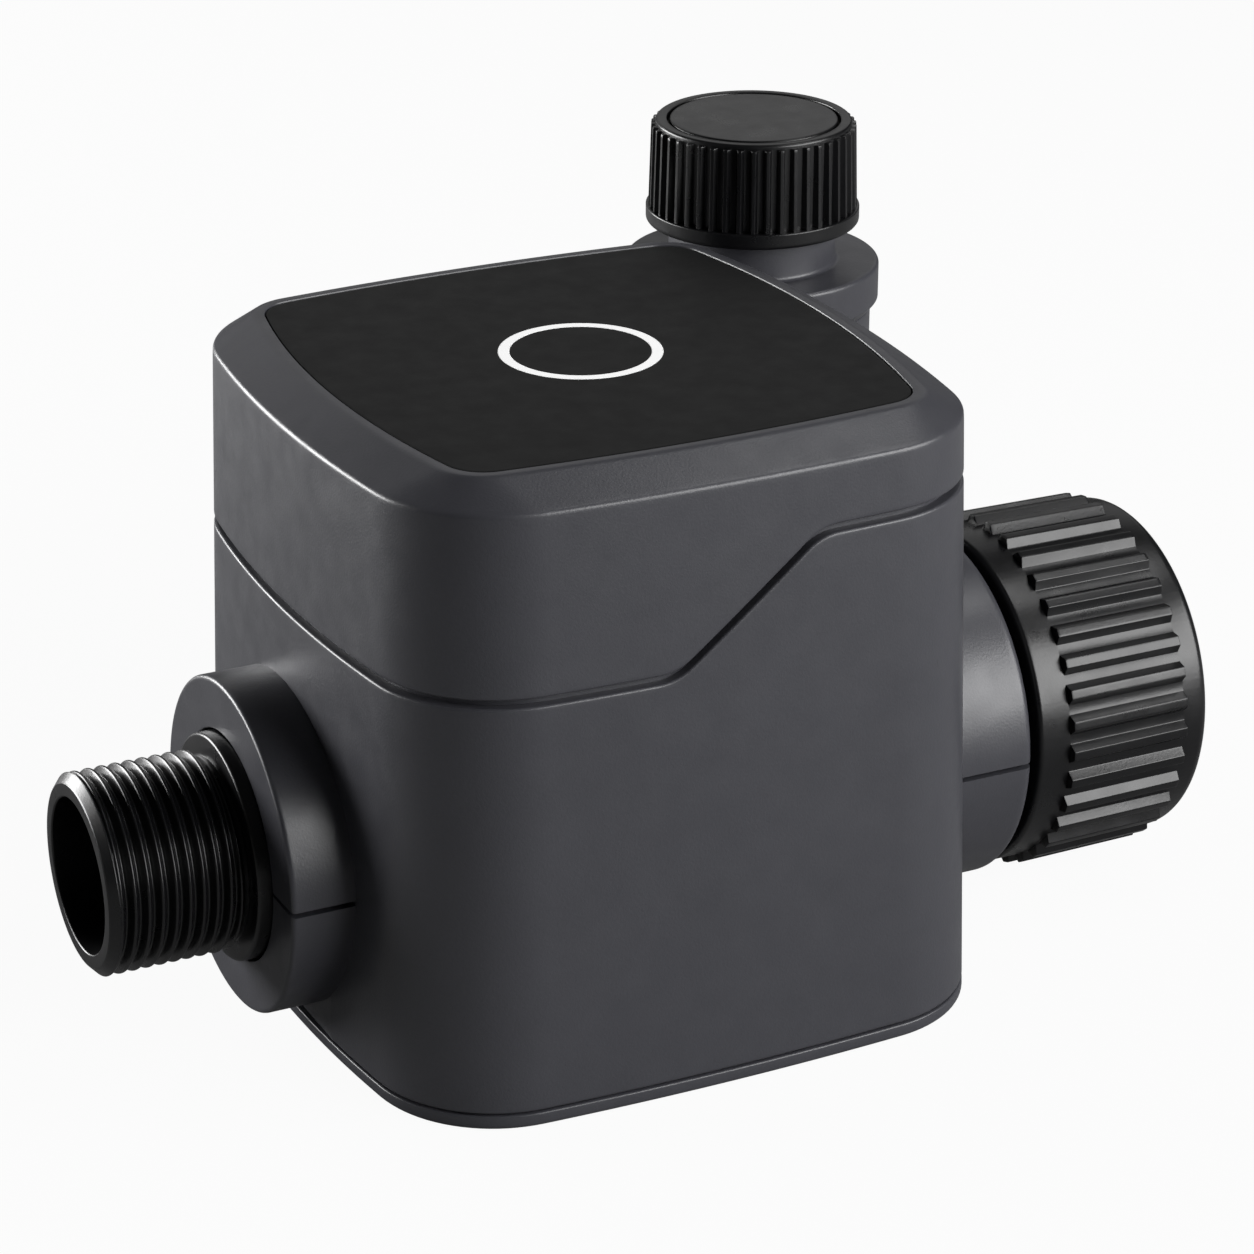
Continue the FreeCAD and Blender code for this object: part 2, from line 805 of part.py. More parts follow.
def cross_head_screw(x, y, head_low, end):
    """Screw with its head at the bottom and a cross recess."""
    head_top = head_low + screw_head_height
    head = rod_z(screw_head_radius, head_low, head_top, x, y)
    shank = rod_z(casing_screw_radius, head_top, end, x, y)
    slot_top = head_low + screw_head_height / 2
    screw = head.fuse(shank)
    for half_x, half_y in (
        (cross_half_length, cross_half_width),
        (cross_half_width, cross_half_length),
    ):
        screw = screw.cut(box(x - half_x, x + half_x, y - half_y, y + half_y, head_low, slot_top))
    return screw


def casing_screws():
    return Part.makeCompound([
        cross_head_screw(x, y, screw_head_recess, casing_screw_end) for x, y in screw_places()
    ])


def casing_gasket():
    """Seal that lies on the housing's tongue, under the cover's rebate."""
    low = base_thickness
    ring = casing_block(groove_depth + tongue_room, low, chamfer_low)
    ring = ring.cut(casing_block(casing_wall, 0, casing_height))
    ring = ring.common(above_parting(parting_gap / 2 + tongue_rise))
    return ring.cut(above_parting(parting_gap / 2 + tongue_rise + gasket_height))


def top_panel():
    inset = rim_width + panel_room
    top = casing_height - panel_drop
    panel = Part.makeLoft(
        [
            rim_outline(inset, panel_corner_radius - panel_room, panel_low),
            rim_outline(inset, panel_corner_radius - panel_room, top),
        ],
        True,
        True,
    )
    groove = ring_z(ring_outer_radius, ring_outer_radius - ring_stroke, top - ring_depth, top)
    panel = panel.cut(groove)
    for x, y in ring_pin_places():
        panel = panel.cut(rod_z(ring_pin_radius, panel_low, top, x, y))
    return panel


def ring_pin_places():
    radius = ring_outer_radius - ring_stroke / 2
    turns = [2 * math.pi * k / ring_pin_count for k in range(ring_pin_count)]
    return [(radius * math.cos(turn), radius * math.sin(turn)) for turn in turns]


def light_ring():
    top = casing_height - panel_drop
    ring = ring_z(ring_outer_radius, ring_outer_radius - ring_stroke, top - ring_depth, top)
    for x, y in ring_pin_places():
        ring = ring.fuse(rod_z(ring_pin_radius, panel_low, top - ring_depth / 2, x, y))
    return ring


def light_board():
    return rod_z(light_board_radius, panel_low - light_board_thickness, panel_low)


def outlet_spigot():
    """Threaded pipe end with a shoulder, a trapped flange and a nose that plugs into the valve."""
    profile = []
    nose = socket_radius - socket_room
    nose_end = -valve_half_length + socket_depth
    profile.append((nose_end, bore_radius))
    profile.append((nose_end, nose))
    groove_mid = -valve_half_length + o_ring_position
    groove_floor = socket_radius - 2 * o_ring_section
    profile.append((groove_mid + o_ring_section, nose))
    profile.append((groove_mid + o_ring_section, groove_floor))
    profile.append((groove_mid - o_ring_section, groove_floor))
    profile.append((groove_mid - o_ring_section, nose))
    profile.append((-valve_half_length, nose))
    profile.append((-valve_half_length, flange_radius))
    profile.append((-pipe_seat, flange_radius))
    profile.append((-pipe_seat, outlet_shoulder_radius))
    profile.append((outlet_thread_start + shoulder_edge, outlet_shoulder_radius))
    profile.append((outlet_thread_start, outlet_shoulder_radius - shoulder_edge))
    root = outlet_thread_radius - outlet_thread_depth
    profile.append((outlet_thread_start, root))
    profile.extend(outside_thread(outlet_thread_start, root))
    profile.append((outlet_end, root - mouth_chamfer))
    profile.append((outlet_end, outlet_bore_radius + mouth_chamfer))
    profile.append((outlet_end + mouth_chamfer, outlet_bore_radius))
    profile.append((outlet_end + outlet_bore_depth, outlet_bore_radius))
    profile.append((outlet_end + outlet_bore_depth + (outlet_bore_radius - bore_radius), bore_radius))
    return turned_x(profile)


def outside_thread(start, root):
    """Ring-shaped thread lands, one for each turn, going in the -X direction."""
    points = []
    flank = (outlet_pitch - 2 * thread_land) / 2
    for turn in range(outlet_turns):
        base = start - turn * outlet_pitch
        points.append((base - thread_land / 2, root))
        points.append((base - thread_land / 2 - flank, outlet_thread_radius))
        points.append((base - thread_land / 2 - flank - thread_land, outlet_thread_radius))
        points.append((base - thread_land / 2 - 2 * flank - thread_land, root))
    return points


def valve_body():
    """Tube with a ball chamber, a flow-meter chamber, a stem boss and two sockets."""
    body = rod_x(valve_body_radius, -valve_half_length, valve_half_length)
    body = body.fuse(rod_z(stem_boss_radius, pipe_height, gear_deck_height, ball_x, 0))
    for x, y in deck_screw_places():
        body = body.fuse(rod_z(deck_screw_radius + deck_post_wall, pipe_height, gear_deck_height, x, y))
    end = valve_half_length
    body = body.cut(rod_x(socket_radius, -end, -end + socket_depth))
    body = body.cut(rod_x(socket_radius, end - socket_depth, end))
    body = body.cut(rod_x(ball_radius + ball_room, -end + socket_depth, ball_seat_high))
    body = body.cut(rod_x(bore_radius, -end, end))
    body = body.cut(rod_x(chamber_radius, chamber_start, end))
    body = body.cut(rod_z(stem_radius + running_room, pipe_height, gear_deck_height, ball_x, 0))
    body = body.cut(rod_z(gland_radius, gear_deck_height - gland_depth, gear_deck_height, ball_x, 0))
    for x, y in deck_screw_places():
        pilot_low = gear_deck_height - deck_pilot_depth
        body = body.cut(rod_z(deck_screw_radius, pilot_low, gear_deck_height, x, y))
    return body


def deck_screw_places():
    return [(ball_x - deck_screw_offset, 0.0), (ball_x + deck_screw_offset, 0.0)]


def socket_o_ring(side):
    middle = side * (valve_half_length - o_ring_position)
    radius = socket_radius - o_ring_section
    return Part.makeTorus(radius, o_ring_section, vec(middle, 0, pipe_height), X_AXIS)


def valve_ball():
    """Ball in the closed position: its bore lies across the pipe."""
    centre = vec(ball_x, 0, pipe_height)
    ball = Part.makeSphere(ball_radius, centre)
    ball = ball.cut(rod_y(ball_bore_radius, -ball_radius, ball_radius, ball_x, pipe_height))
    top = pipe_height + ball_radius
    slot = box(
        ball_x - tang_width / 2,
        ball_x + tang_width / 2,
        -ball_radius,
        ball_radius,
        top - tang_depth,
        top,
    )
    return ball.cut(slot)


def seat_ring(side):
    """Soft seat whose inner edge is hollowed to the ball."""
    near = ball_x + side * ball_bore_radius
    far = ball_x + side * seat_half_span
    ring = ring_x(ball_radius + ball_room - running_room, ball_bore_radius, min(near, far), max(near, far))
    return ring.cut(Part.makeSphere(ball_radius + seat_clearance, vec(ball_x, 0, pipe_height)))


def ball_stem():
    top = pipe_height + ball_radius
    stem = rod_z(stem_radius, top, gear_high, ball_x, 0)
    tang = box(
        ball_x - tang_width / 2 + running_room,
        ball_x + tang_width / 2 - running_room,
        -tang_length / 2,
        tang_length / 2,
        top - tang_depth + running_room,
        top + stem_above_ball,
    )
    tang = tang.common(rod_z(stem_radius, 0, reach, ball_x, 0))
    pivot = rod_z(pivot_radius, gear_high, gear_roof_high - running_room, ball_x, 0)
    return stem.fuse([tang, pivot])


def stem_o_rings():
    centre_radius = stem_radius + running_room + stem_ring_section
    heights = [
        gear_deck_height - gland_depth + stem_ring_section + running_room,
        gear_deck_height - stem_ring_section - running_room,
    ]
    return Part.makeCompound([
        Part.makeTorus(centre_radius, stem_ring_section, vec(ball_x, 0, height), Z_AXIS)
        for height in heights
    ])


def involute(angle):
    return math.tan(angle) - angle


def gear(teeth, x, y, phase_degrees, hole_radius):
    """Spur gear with involute flanks; one tooth is centred on the phase direction."""
    pitch_radius = gear_module * teeth / 2
    angle = math.radians(pressure_angle)
    base_radius = pitch_radius * math.cos(angle)
    tip_radius = pitch_radius + gear_addendum
    root_radius = pitch_radius - gear_dedendum
    tooth_width = math.pi * gear_module / 2 - gear_backlash
    half_at_base = tooth_width / (2 * pitch_radius) + involute(angle)
    first = max(base_radius, root_radius)
    flank = []
    for step in range(flank_samples):
        radius = first + (tip_radius - first) * step / (flank_samples - 1)
        half = half_at_base - involute(math.acos(min(1.0, base_radius / radius)))
        flank.append((radius, half))
    if root_radius < base_radius:
        flank.insert(0, (root_radius, half_at_base))
    points = []
    for tooth in range(teeth):
        middle = math.radians(phase_degrees) + 2 * math.pi * tooth / teeth
        for radius, half in flank:
            points.append(polar(x, y, radius, middle - half, gear_low))
        for radius, half in reversed(flank):
            points.append(polar(x, y, radius, middle + half, gear_low))
    face = Part.Face(Part.makePolygon(points + points[:1]))
    wheel = face.extrude(vec(0, 0, gear_width))
    return wheel.cut(rod_z(hole_radius, gear_low, gear_high, x, y))


def idler_phase():
    return idler_direction + 180.0 + 180.0 / idler_teeth


def pinion_phase():
    """Turns the pinion so that a gap meets the idler's nearest tooth."""
    tooth_angle = 360.0 / idler_teeth
    offset = (pinion_direction - idler_phase()) % tooth_angle
    return pinion_direction + 180.0 + offset * idler_teeth / pinion_teeth + 180.0 / pinion_teeth


def drive_gear():
    return gear(drive_teeth, ball_x, 0, idler_direction, stem_radius)


def idler_gear():
    return gear(idler_teeth, idler_x, idler_y, idler_phase(), pivot_radius + running_room)


def drive_pinion():
    return gear(pinion_teeth, pinion_x, pinion_y, pinion_phase(), pivot_radius)


def idler_shaft():
    return rod_z(pivot_radius, gear_deck_height, gear_roof_high - running_room, idler_x, idler_y)


def motor_shaft():
    low = gear_deck_height - motor_shaft_entry
    return rod_z(pivot_radius, low, gear_roof_high - running_room, pinion_x, pinion_y)


def gear_motor():
    low = gear_deck_height - motor_length
    can_low = low + motor_tail_length
    can = rod_z(motor_radius, can_low, gear_deck_height, pinion_x, pinion_y)
    tail = rod_z(motor_boss_radius, low, can_low, pinion_x, pinion_y)
    boss_top = gear_deck_height + motor_boss_height
    boss = rod_z(motor_boss_radius, gear_deck_height, boss_top, pinion_x, pinion_y)
    motor = can.fuse([tail, boss])
    shaft_low = gear_deck_height - motor_shaft_entry
    return motor.cut(rod_z(pivot_radius + running_room, shaft_low, boss_top, pinion_x, pinion_y))


def gear_case_discs(shrink, low, high):
    """Three joined discs round the gear train, set in by shrink."""
    room = gear_addendum + gear_tip_room + cover_wall - shrink
    discs = rod_z(drive_pitch_radius + room, low, high, ball_x, 0)
    discs = discs.fuse(rod_z(idler_pitch_radius + room, low, high, idler_x, idler_y))
    motor_disc = max(motor_radius + motor_rim, pinion_pitch_radius + room + shrink)
    return discs.fuse(rod_z(motor_disc - shrink, low, high, pinion_x, pinion_y))


def cover_ear_places():
    reach_out = drive_pitch_radius + gear_addendum + gear_tip_room + cover_wall + cover_screw_radius
    turns = [math.radians(direction) for direction in cover_ear_directions]
    return [(ball_x + reach_out * math.cos(turn), reach_out * math.sin(turn)) for turn in turns]


def gear_deck():
    """Plate on the valve body that carries the gears and the motor."""
    top = gear_deck_height + deck_thickness
    deck = gear_case_discs(0, gear_deck_height, top)
    for x, y in cover_ear_places():
        deck = deck.fuse(rod_z(cover_ear_radius, gear_deck_height, top, x, y))
    for x, y in cover_ear_places():
        deck = deck.cut(rod_z(cover_screw_radius, gear_deck_height, top, x, y))
    for x, y in deck_screw_places():
        deck = deck.cut(rod_z(deck_screw_radius + screw_room, gear_deck_height, top, x, y))
        deck = deck.cut(Part.makeCone(
            deck_screw_radius + screw_room, 2 * deck_screw_radius + screw_room, deck_thickness / 2,
            vec(x, y, top - deck_thickness / 2), Z_AXIS,
        ))
    deck = deck.cut(rod_z(stem_radius + screw_room, gear_deck_height, top, ball_x, 0))
    deck = deck.cut(rod_z(pivot_radius, gear_deck_height, top, idler_x, idler_y))
    boss_top = gear_deck_height + motor_boss_height
    deck = deck.cut(rod_z(motor_boss_radius, gear_deck_height, boss_top, pinion_x, pinion_y))
    return deck.cut(rod_z(pivot_radius + screw_room, gear_deck_height, top, pinion_x, pinion_y))


def gear_cover():
    """Cap over the gears with bearings for the shafts and standoffs for the board."""
    low = gear_deck_height + deck_thickness
    cover = gear_case_discs(0, low, gear_roof_high)
    for x, y in cover_ear_places():
        cover = cover.fuse(rod_z(cover_ear_radius, low, gear_roof_high, x, y))
    cover = cover.cut(gear_case_discs(cover_wall, low, gear_roof_low))
    for x, y in standoff_places():
        standoff = rod_z(standoff_radius, gear_roof_low, board_low, x, y)
        cover = cover.fuse(standoff)
        cover = cover.cut(rod_z(board_screw_radius, gear_roof_high, board_low, x, y))
    for x, y in cover_ear_places():
        cover = cover.cut(rod_z(cover_screw_radius + screw_room, low, gear_roof_high, x, y))
    cover = cover.cut(rod_z(pivot_radius + running_room, gear_roof_low, gear_roof_high, ball_x, 0))
    cover = cover.cut(rod_z(pivot_radius, gear_roof_low, gear_roof_high, idler_x, idler_y))
    return cover.cut(rod_z(pivot_radius + running_room, gear_roof_low, gear_roof_high, pinion_x, pinion_y))


def standoff_places():
    places = [(ball_x + x, y) for x, y in drive_standoffs]
    places.append((idler_x + idler_standoff[0], idler_y + idler_standoff[1]))
    return places


def pan_screw(x, y, seat, end, shank_radius):
    """Small screw that hangs down from its seat, with a slotted pan head."""
    head_radius = pan_head_ratio * shank_radius
    head_height = pan_height_ratio * shank_radius
    low = min(seat, end)
    screw = rod_z(shank_radius, low, seat, x, y)
    screw = screw.fuse(rod_z(head_radius, seat, seat + head_height, x, y))
    front = y - pan_slot_half_width
    back = y + pan_slot_half_width
    slot = box(x - head_radius, x + head_radius, front, back, seat + head_height / 2, seat + head_height)
    return screw.cut(slot)


def deck_screws():
    """Countersunk screws through the deck into the valve body."""
    top = gear_deck_height + deck_thickness
    screws = []
    for x, y in deck_screw_places():
        cone_low = top - deck_thickness / 2
        shank = rod_z(deck_screw_radius, gear_deck_height - deck_screw_depth, cone_low, x, y)
        head = Part.makeCone(
            deck_screw_radius, 2 * deck_screw_radius, deck_thickness / 2, vec(x, y, cone_low), Z_AXIS
        )
        screws.append(shank.fuse(head))
    return Part.makeCompound(screws)


def gear_cover_screws():
    return Part.makeCompound([
        pan_screw(x, y, gear_roof_high, gear_deck_height, cover_screw_radius)
        for x, y in cover_ear_places()
    ])


def rotor_cage(start):
    """Ring with spokes and a hub that holds one end of the rotor's axle."""
    end = start + cage_length
    cage = ring_x(chamber_radius, chamber_radius - cage_ring, start, end)
    cage = cage.fuse(rod_x(rotor_hub_radius, start, end))
    spoke_end = chamber_radius - cage_ring / 2
    for index in range(cage_spokes):
        spoke_top = pipe_height + spoke_end
        spoke = box(start, end, -cage_spoke_width / 2, cage_spoke_width / 2, pipe_height, spoke_top)
        spoke.rotate(vec(0, 0, pipe_height), X_AXIS, 360.0 * index / cage_spokes)
        cage = cage.fuse(spoke)
    return cage.cut(rod_x(rotor_axle_radius, start, end))


def rotor_span():
    first = chamber_start + cage_length
    last = valve_half_length - socket_depth - cage_length
    return first, last


def rotor_axle():
    return rod_x(rotor_axle_radius, chamber_start, valve_half_length - socket_depth)


def flow_rotor():
    """Six-bladed turbine wheel that counts the flow."""
    first, last = rotor_span()
    hub = rod_x(rotor_hub_radius, first + rotor_end_room, last - rotor_end_room)
    middle = (first + last) / 2
    tip = chamber_radius - rotor_tip_room
    for index in range(vane_count):
        vane = box(
            middle - vane_length / 2,
            middle + vane_length / 2,
            -vane_thickness / 2,
            vane_thickness / 2,
            pipe_height,
            pipe_height + chamber_radius,
        )
        vane.rotate(vec(middle, 0, pipe_height), Z_AXIS, vane_pitch_angle)
        vane.rotate(vec(0, 0, pipe_height), X_AXIS, 360.0 * index / vane_count)
        hub = hub.fuse(vane)
    hub = hub.common(rod_x(tip, first + rotor_end_room, last - rotor_end_room))
    return hub.cut(rod_x(rotor_axle_radius + running_room, first, last))


def inlet_tee():
    """Pipe that carries the nut, with the side branch and the barrel of the tower."""
    nose = socket_radius - socket_room
    nose_end = valve_half_length - socket_depth
    groove_mid = valve_half_length - o_ring_position
    groove_floor = socket_radius - 2 * o_ring_section
    ring_end = ring_start + retaining_ring_thickness
    pipe = turned_x([
        (nose_end, bore_radius),
        (nose_end, nose),
        (groove_mid - o_ring_section, nose),
        (groove_mid - o_ring_section, groove_floor),
        (groove_mid + o_ring_section, groove_floor),
        (groove_mid + o_ring_section, nose),
        (valve_half_length, nose),
        (valve_half_length, flange_radius),
        (pipe_seat, flange_radius),
        (pipe_seat, inlet_pipe_radius),
        (ring_start, inlet_pipe_radius),
        (ring_start, retaining_groove_radius),
        (ring_end, retaining_groove_radius),
        (ring_end, inlet_pipe_radius),
        (pipe_end - mouth_chamfer, inlet_pipe_radius),
        (pipe_end, inlet_pipe_radius - mouth_chamfer),
        (pipe_end, inlet_bore_radius),
        (pipe_seat + inlet_cone_start, inlet_bore_radius),
        (pipe_seat + inlet_cone_start - (inlet_bore_radius - bore_radius), bore_radius),
    ])
    branch_neck_end = inlet_collar_radius + branch_neck_gap
    branch = rod_y(branch_radius, inlet_bore_radius + branch_root, tower_y, branch_x, pipe_height)
    outer_branch = rod_y(branch_outer_radius, branch_neck_end, tower_y, branch_x, pipe_height)
    tee = pipe.fuse([branch, outer_branch, tower_barrel()])
    chamber_low = tower_floor + tower_floor_thickness
    chamber_high = drain_seat_height - drain_seat_thickness
    tee = tee.cut(rod_z(tower_chamber_radius, chamber_low, chamber_high, tower_x, tower_y))
    return tee.cut(rod_y(branch_bore_radius, 0, tower_y, branch_x, pipe_height))


def tower_barrel():
    """Barrel with the drain seat, the plug's bore, a wide head and a short spout."""
    plug_bore = plug_radius + plug_bore_room
    profile = [
        (0, tower_floor),
        (tower_lower_radius - tower_bottom_bevel, tower_floor),
        (tower_lower_radius, tower_floor + tower_bottom_bevel),
        (tower_lower_radius, tower_cone_low),
        (tower_upper_radius, tower_cone_high),
        (tower_upper_radius, tower_top),
        (tower_neck_radius, tower_top),
        (tower_neck_radius, tower_top + tower_neck_height),
        (tower_head_radius, tower_top + tower_neck_height),
        (tower_head_radius, plug_bore_top + tower_head_radius - plug_bore),
        (plug_bore, plug_bore_top),
        (plug_bore, drain_seat_height),
        (drain_seat_radius, drain_seat_height),
        (drain_seat_radius, drain_seat_height - drain_seat_thickness),
        (0, drain_seat_height - drain_seat_thickness),
    ]
    barrel = turned_z(profile, tower_x, tower_y)
    spout_end = tower_y + tower_lower_radius + spout_length
    spout_start = tower_y + (plug_bore + tower_lower_radius) / 2
    barrel = barrel.fuse(rod_y(spout_radius, spout_start, spout_end, tower_x, spout_height))
    return barrel.cut(rod_y(spout_bore_radius, tower_y, spout_end, tower_x, spout_height))


def retaining_ring():
    """Split ring that sits in the pipe's groove and holds the nut."""
    ring = ring_x(
        retaining_ring_radius,
        retaining_groove_radius,
        ring_start,
        ring_start + retaining_ring_thickness,
    )
    slit = box(
        ring_start, ring_start + retaining_ring_thickness,
        -retaining_ring_slit / 2, retaining_ring_slit / 2,
        pipe_height - 2 * retaining_ring_radius, pipe_height,
    )
    return ring.cut(slit)


def nut_section(radius, x):
    """Ribbed cross-section of the nut at x."""
    points = []
    step = 2 * math.pi / nut_rib_count
    floor = radius - nut_rib_depth
    for rib in range(nut_rib_count):
        middle = rib * step
        corners = [
            (floor, middle - nut_rib_foot_share * step),
            (radius, middle - nut_rib_crest_share * step),
            (radius, middle + nut_rib_crest_share * step),
            (floor, middle + nut_rib_foot_share * step),
        ]
        for r, turn in corners:
            points.append(vec(x, r * math.sin(turn), pipe_height + r * math.cos(turn)))
    return Part.makePolygon(points + points[:1])


def union_nut():
    """Swivel nut: a plain band, trapezoid ribs, a plain rim, and a G 1 thread inside."""
    sections = [
        nut_section(nut_radius, nut_rib_start),
        nut_section(nut_radius - nut_rib_taper, nut_rib_end),
    ]
    ribs = Part.makeLoft(sections, True, True)
    band_radius = nut_radius - nut_band_inset
    band = turned_x([
        (nut_start, 0),
        (nut_start, band_radius - nut_band_edge),
        (nut_start + nut_band_edge, band_radius),
        (nut_rib_start, band_radius),
        (nut_rib_start, 0),
    ])
    rim = turned_x([
        (nut_rib_end, 0),
        (nut_rib_end, nut_rim_radius),
        (nut_end - nut_rim_chamfer, nut_rim_radius),
        (nut_end - nut_rim_chamfer / 3, nut_rim_radius - nut_rim_chamfer / 3),
        (nut_end, nut_rim_radius - nut_rim_chamfer),
        (nut_end, 0),
    ])
    nut = ribs.fuse([band, rim])
    return nut.cut(nut_hollow())


def nut_hollow():
    """Space inside the nut: pipe hole, relief for the ring, thread and mouth."""
    relief_start = nut_start + nut_back_wall
    points = [
        (nut_start - cut_overrun, 0),
        (nut_start - cut_overrun, inlet_pipe_radius + nut_running_room),
        (relief_start, inlet_pipe_radius + nut_running_room),
        (relief_start, nut_relief_radius),
        (nut_thread_start - nut_relief_taper, nut_relief_radius),
        (nut_thread_start, nut_thread_minor),
    ]
    points.extend(inside_thread())
    points.extend([
        (nut_thread_end + nut_thread_land, nut_thread_minor),
        (nut_end, nut_thread_minor + nut_mouth_flare),
        (nut_end + cut_overrun, nut_thread_minor + nut_mouth_flare),
        (nut_end + cut_overrun, 0),
    ])
    return turned_x(points)


def inside_thread():
    """Ring-shaped thread grooves, one for each turn, going in the +X direction."""
    points = []
    flank = (nut_pitch - nut_thread_land - thread_land) / 2
    for turn in range(nut_turns):
        land_end = nut_thread_start + turn * nut_pitch + nut_thread_land
        points.append((land_end, nut_thread_minor))
        points.append((land_end + flank, nut_thread_major))
        points.append((land_end + flank + thread_land, nut_thread_major))
        points.append((land_end + 2 * flank + thread_land, nut_thread_minor))
    return points


def union_washer():
    start = pipe_end + strainer_flange
    return ring_x(washer_outer_radius, washer_inner_radius, start, start + washer_thickness)


def inlet_strainer():
    """Perforated thimble whose flange is clamped between the pipe and the washer."""
    tip = pipe_end - strainer_length
    flange_end = pipe_end + strainer_flange
    thimble = turned_x([
        (tip, 0),
        (tip, strainer_radius - strainer_tip_wall),
        (tip + strainer_tip_wall, strainer_radius),
        (pipe_end, strainer_radius),
        (pipe_end, inlet_pipe_radius - mouth_chamfer),
        (flange_end, inlet_pipe_radius - mouth_chamfer),
        (flange_end, strainer_radius - strainer_wall),
        (tip + strainer_tip_wall, strainer_radius - strainer_wall),
        (tip + strainer_tip_wall, 0),
    ])
    row_step = (strainer_length - strainer_slot_margin) / strainer_slot_rows
    for row in range(strainer_slot_rows):
        start = tip + strainer_slot_margin + row * row_step
        for column in range(strainer_slot_columns):
            slot = box(
                start, start + strainer_slot_length,
                -strainer_slot_width / 2, strainer_slot_width / 2,
                pipe_height, pipe_height + 2 * strainer_radius,
            )
            slot.rotate(vec(0, 0, pipe_height), X_AXIS, 360.0 * column / strainer_slot_columns)
            thimble = thimble.cut(slot)
    return thimble


def tower_bonnet():
    """Flanged cap with a neck, a skirt over the barrel's collar and a guide for the stem."""
    skirt = tower_neck_radius + bonnet_skirt_room
    hole = stem_radius + running_room
    gland = stem_radius + 2 * stem_ring_section
    gland_high = guide_low + bonnet_gland_height
    gland_low = gland_high - 2 * stem_ring_section - bonnet_gland_room
    neck_foot = bonnet_neck_radius + bonnet_neck_fillet
    profile = [
        (hole, neck_top),
        (bonnet_neck_radius - bonnet_neck_edge, neck_top),
        (bonnet_neck_radius, neck_top - bonnet_neck_edge),
        (bonnet_neck_radius, bonnet_top + bonnet_neck_fillet),
        (neck_foot, bonnet_top),
        (bonnet_radius - bonnet_edge, bonnet_top),
        (bonnet_radius, bonnet_top - bonnet_edge),
        (bonnet_radius, tower_top + bonnet_bevel),
        (bonnet_radius - bonnet_bevel_width, tower_top),
        (skirt, tower_top),
        (skirt, bonnet_roof_low),
        (bonnet_guide_radius, bonnet_roof_low),
        (bonnet_guide_radius, guide_low),
        (hole, guide_low),
        (hole, gland_low),
        (gland, gland_low),
        (gland, gland_high),
        (hole, gland_high),
    ]
    return turned_z(profile, tower_x, tower_y)


def drain_stem_o_ring():
    height = guide_low + bonnet_gland_height - stem_ring_section - bonnet_gland_room / 2
    radius = stem_radius + running_room + stem_ring_section
    section = stem_ring_section - running_room
    return Part.makeTorus(radius, section, vec(tower_x, tower_y, height), Z_AXIS)


def drain_stem():
    """Stem with a screw at its foot, a collar under the guide and a flat for the knob."""
    collar_top = guide_low - knob_gap
    stem = rod_z(stem_radius, collar_top, knob_high - knob_crown, tower_x, tower_y)
    collar = rod_z(stem_collar_radius, collar_top - stem_collar_height, collar_top, tower_x, tower_y)
    screw = rod_z(plug_screw_radius, drain_stem_low, collar_top - stem_collar_height, tower_x, tower_y)
    stem = stem.fuse([collar, screw])
    return stem.cut(stem_flat_block())


def stem_flat_block():
    """Block outside the flat that keeps the knob from turning on the stem."""
    return box(
        tower_x + stem_flat, tower_x + 2 * stem_radius,
        tower_y - 2 * stem_radius, tower_y + 2 * stem_radius,
        knob_low + stem_flat_start, knob_high,
    )


def drain_plug():
    plug = rod_z(plug_radius, plug_low, plug_high, tower_x, tower_y)
    hollow = rod_z(plug_screw_radius + plug_screw_room, plug_low + plug_floor, plug_high, tower_x, tower_y)
    return plug.cut(hollow)


def plug_seal():
    return rod_z(plug_radius - plug_seal_inset, plug_seal_low, plug_low, tower_x, tower_y)


def drain_knob():
    """Ribbed hollow knob with a hub for the stem and a recess for its disc."""
    ribs = Part.Face(knob_section()).extrude(vec(0, 0, knob_rib_height))
    band = turned_z([
        (0, knob_low),
        (knob_band_radius - knob_band_edge, knob_low),
        (knob_band_radius, knob_low + knob_band_edge),
        (knob_band_radius, knob_rib_low - knob_band_edge),
        (knob_band_radius - knob_band_edge, knob_rib_low),
        (0, knob_rib_low),
    ], tower_x, tower_y)
    cap = turned_z([
        (0, knob_rib_high),
        (knob_top_radius, knob_rib_high),
        (knob_top_radius, knob_high - knob_top_edge),
        (knob_top_radius - knob_top_edge, knob_high),
        (0, knob_high),
    ], tower_x, tower_y)
    knob = ribs.fuse([band, cap])
    inside = knob_rib_radius - knob_rib_depth - knob_wall
    ceiling = knob_high - knob_crown
    hollow = ring_z(inside, knob_hub_radius, knob_low, ceiling, tower_x, tower_y)
    hub_cut = rod_z(inside, knob_low, knob_low + knob_hub_recess, tower_x, tower_y)
    disc_floor = knob_high - knob_disc_thickness
    disc_recess = rod_z(knob_disc_radius + knob_disc_groove, disc_floor, knob_high, tower_x, tower_y)
    knob = knob.cut(hollow).cut(hub_cut).cut(disc_recess)
    stem_hole = rod_z(stem_radius, knob_low, ceiling, tower_x, tower_y).cut(stem_flat_block())
    return knob.cut(stem_hole)


def knob_section():
    points = []
    step = 2 * math.pi / knob_rib_count
    floor = knob_rib_radius - knob_rib_depth
    shoulder = knob_rib_radius - knob_rib_rounding
    for rib in range(knob_rib_count):
        middle = rib * step
        corners = [
            (floor, middle - knob_rib_foot_share * step),
            (shoulder, middle - knob_rib_crest_share * step),
            (knob_rib_radius, middle),
            (shoulder, middle + knob_rib_crest_share * step),
            (floor, middle + knob_rib_foot_share * step),
        ]
        for r, turn in corners:
            points.append(polar(tower_x, tower_y, r, turn, knob_rib_low))
    return Part.makePolygon(points + points[:1])


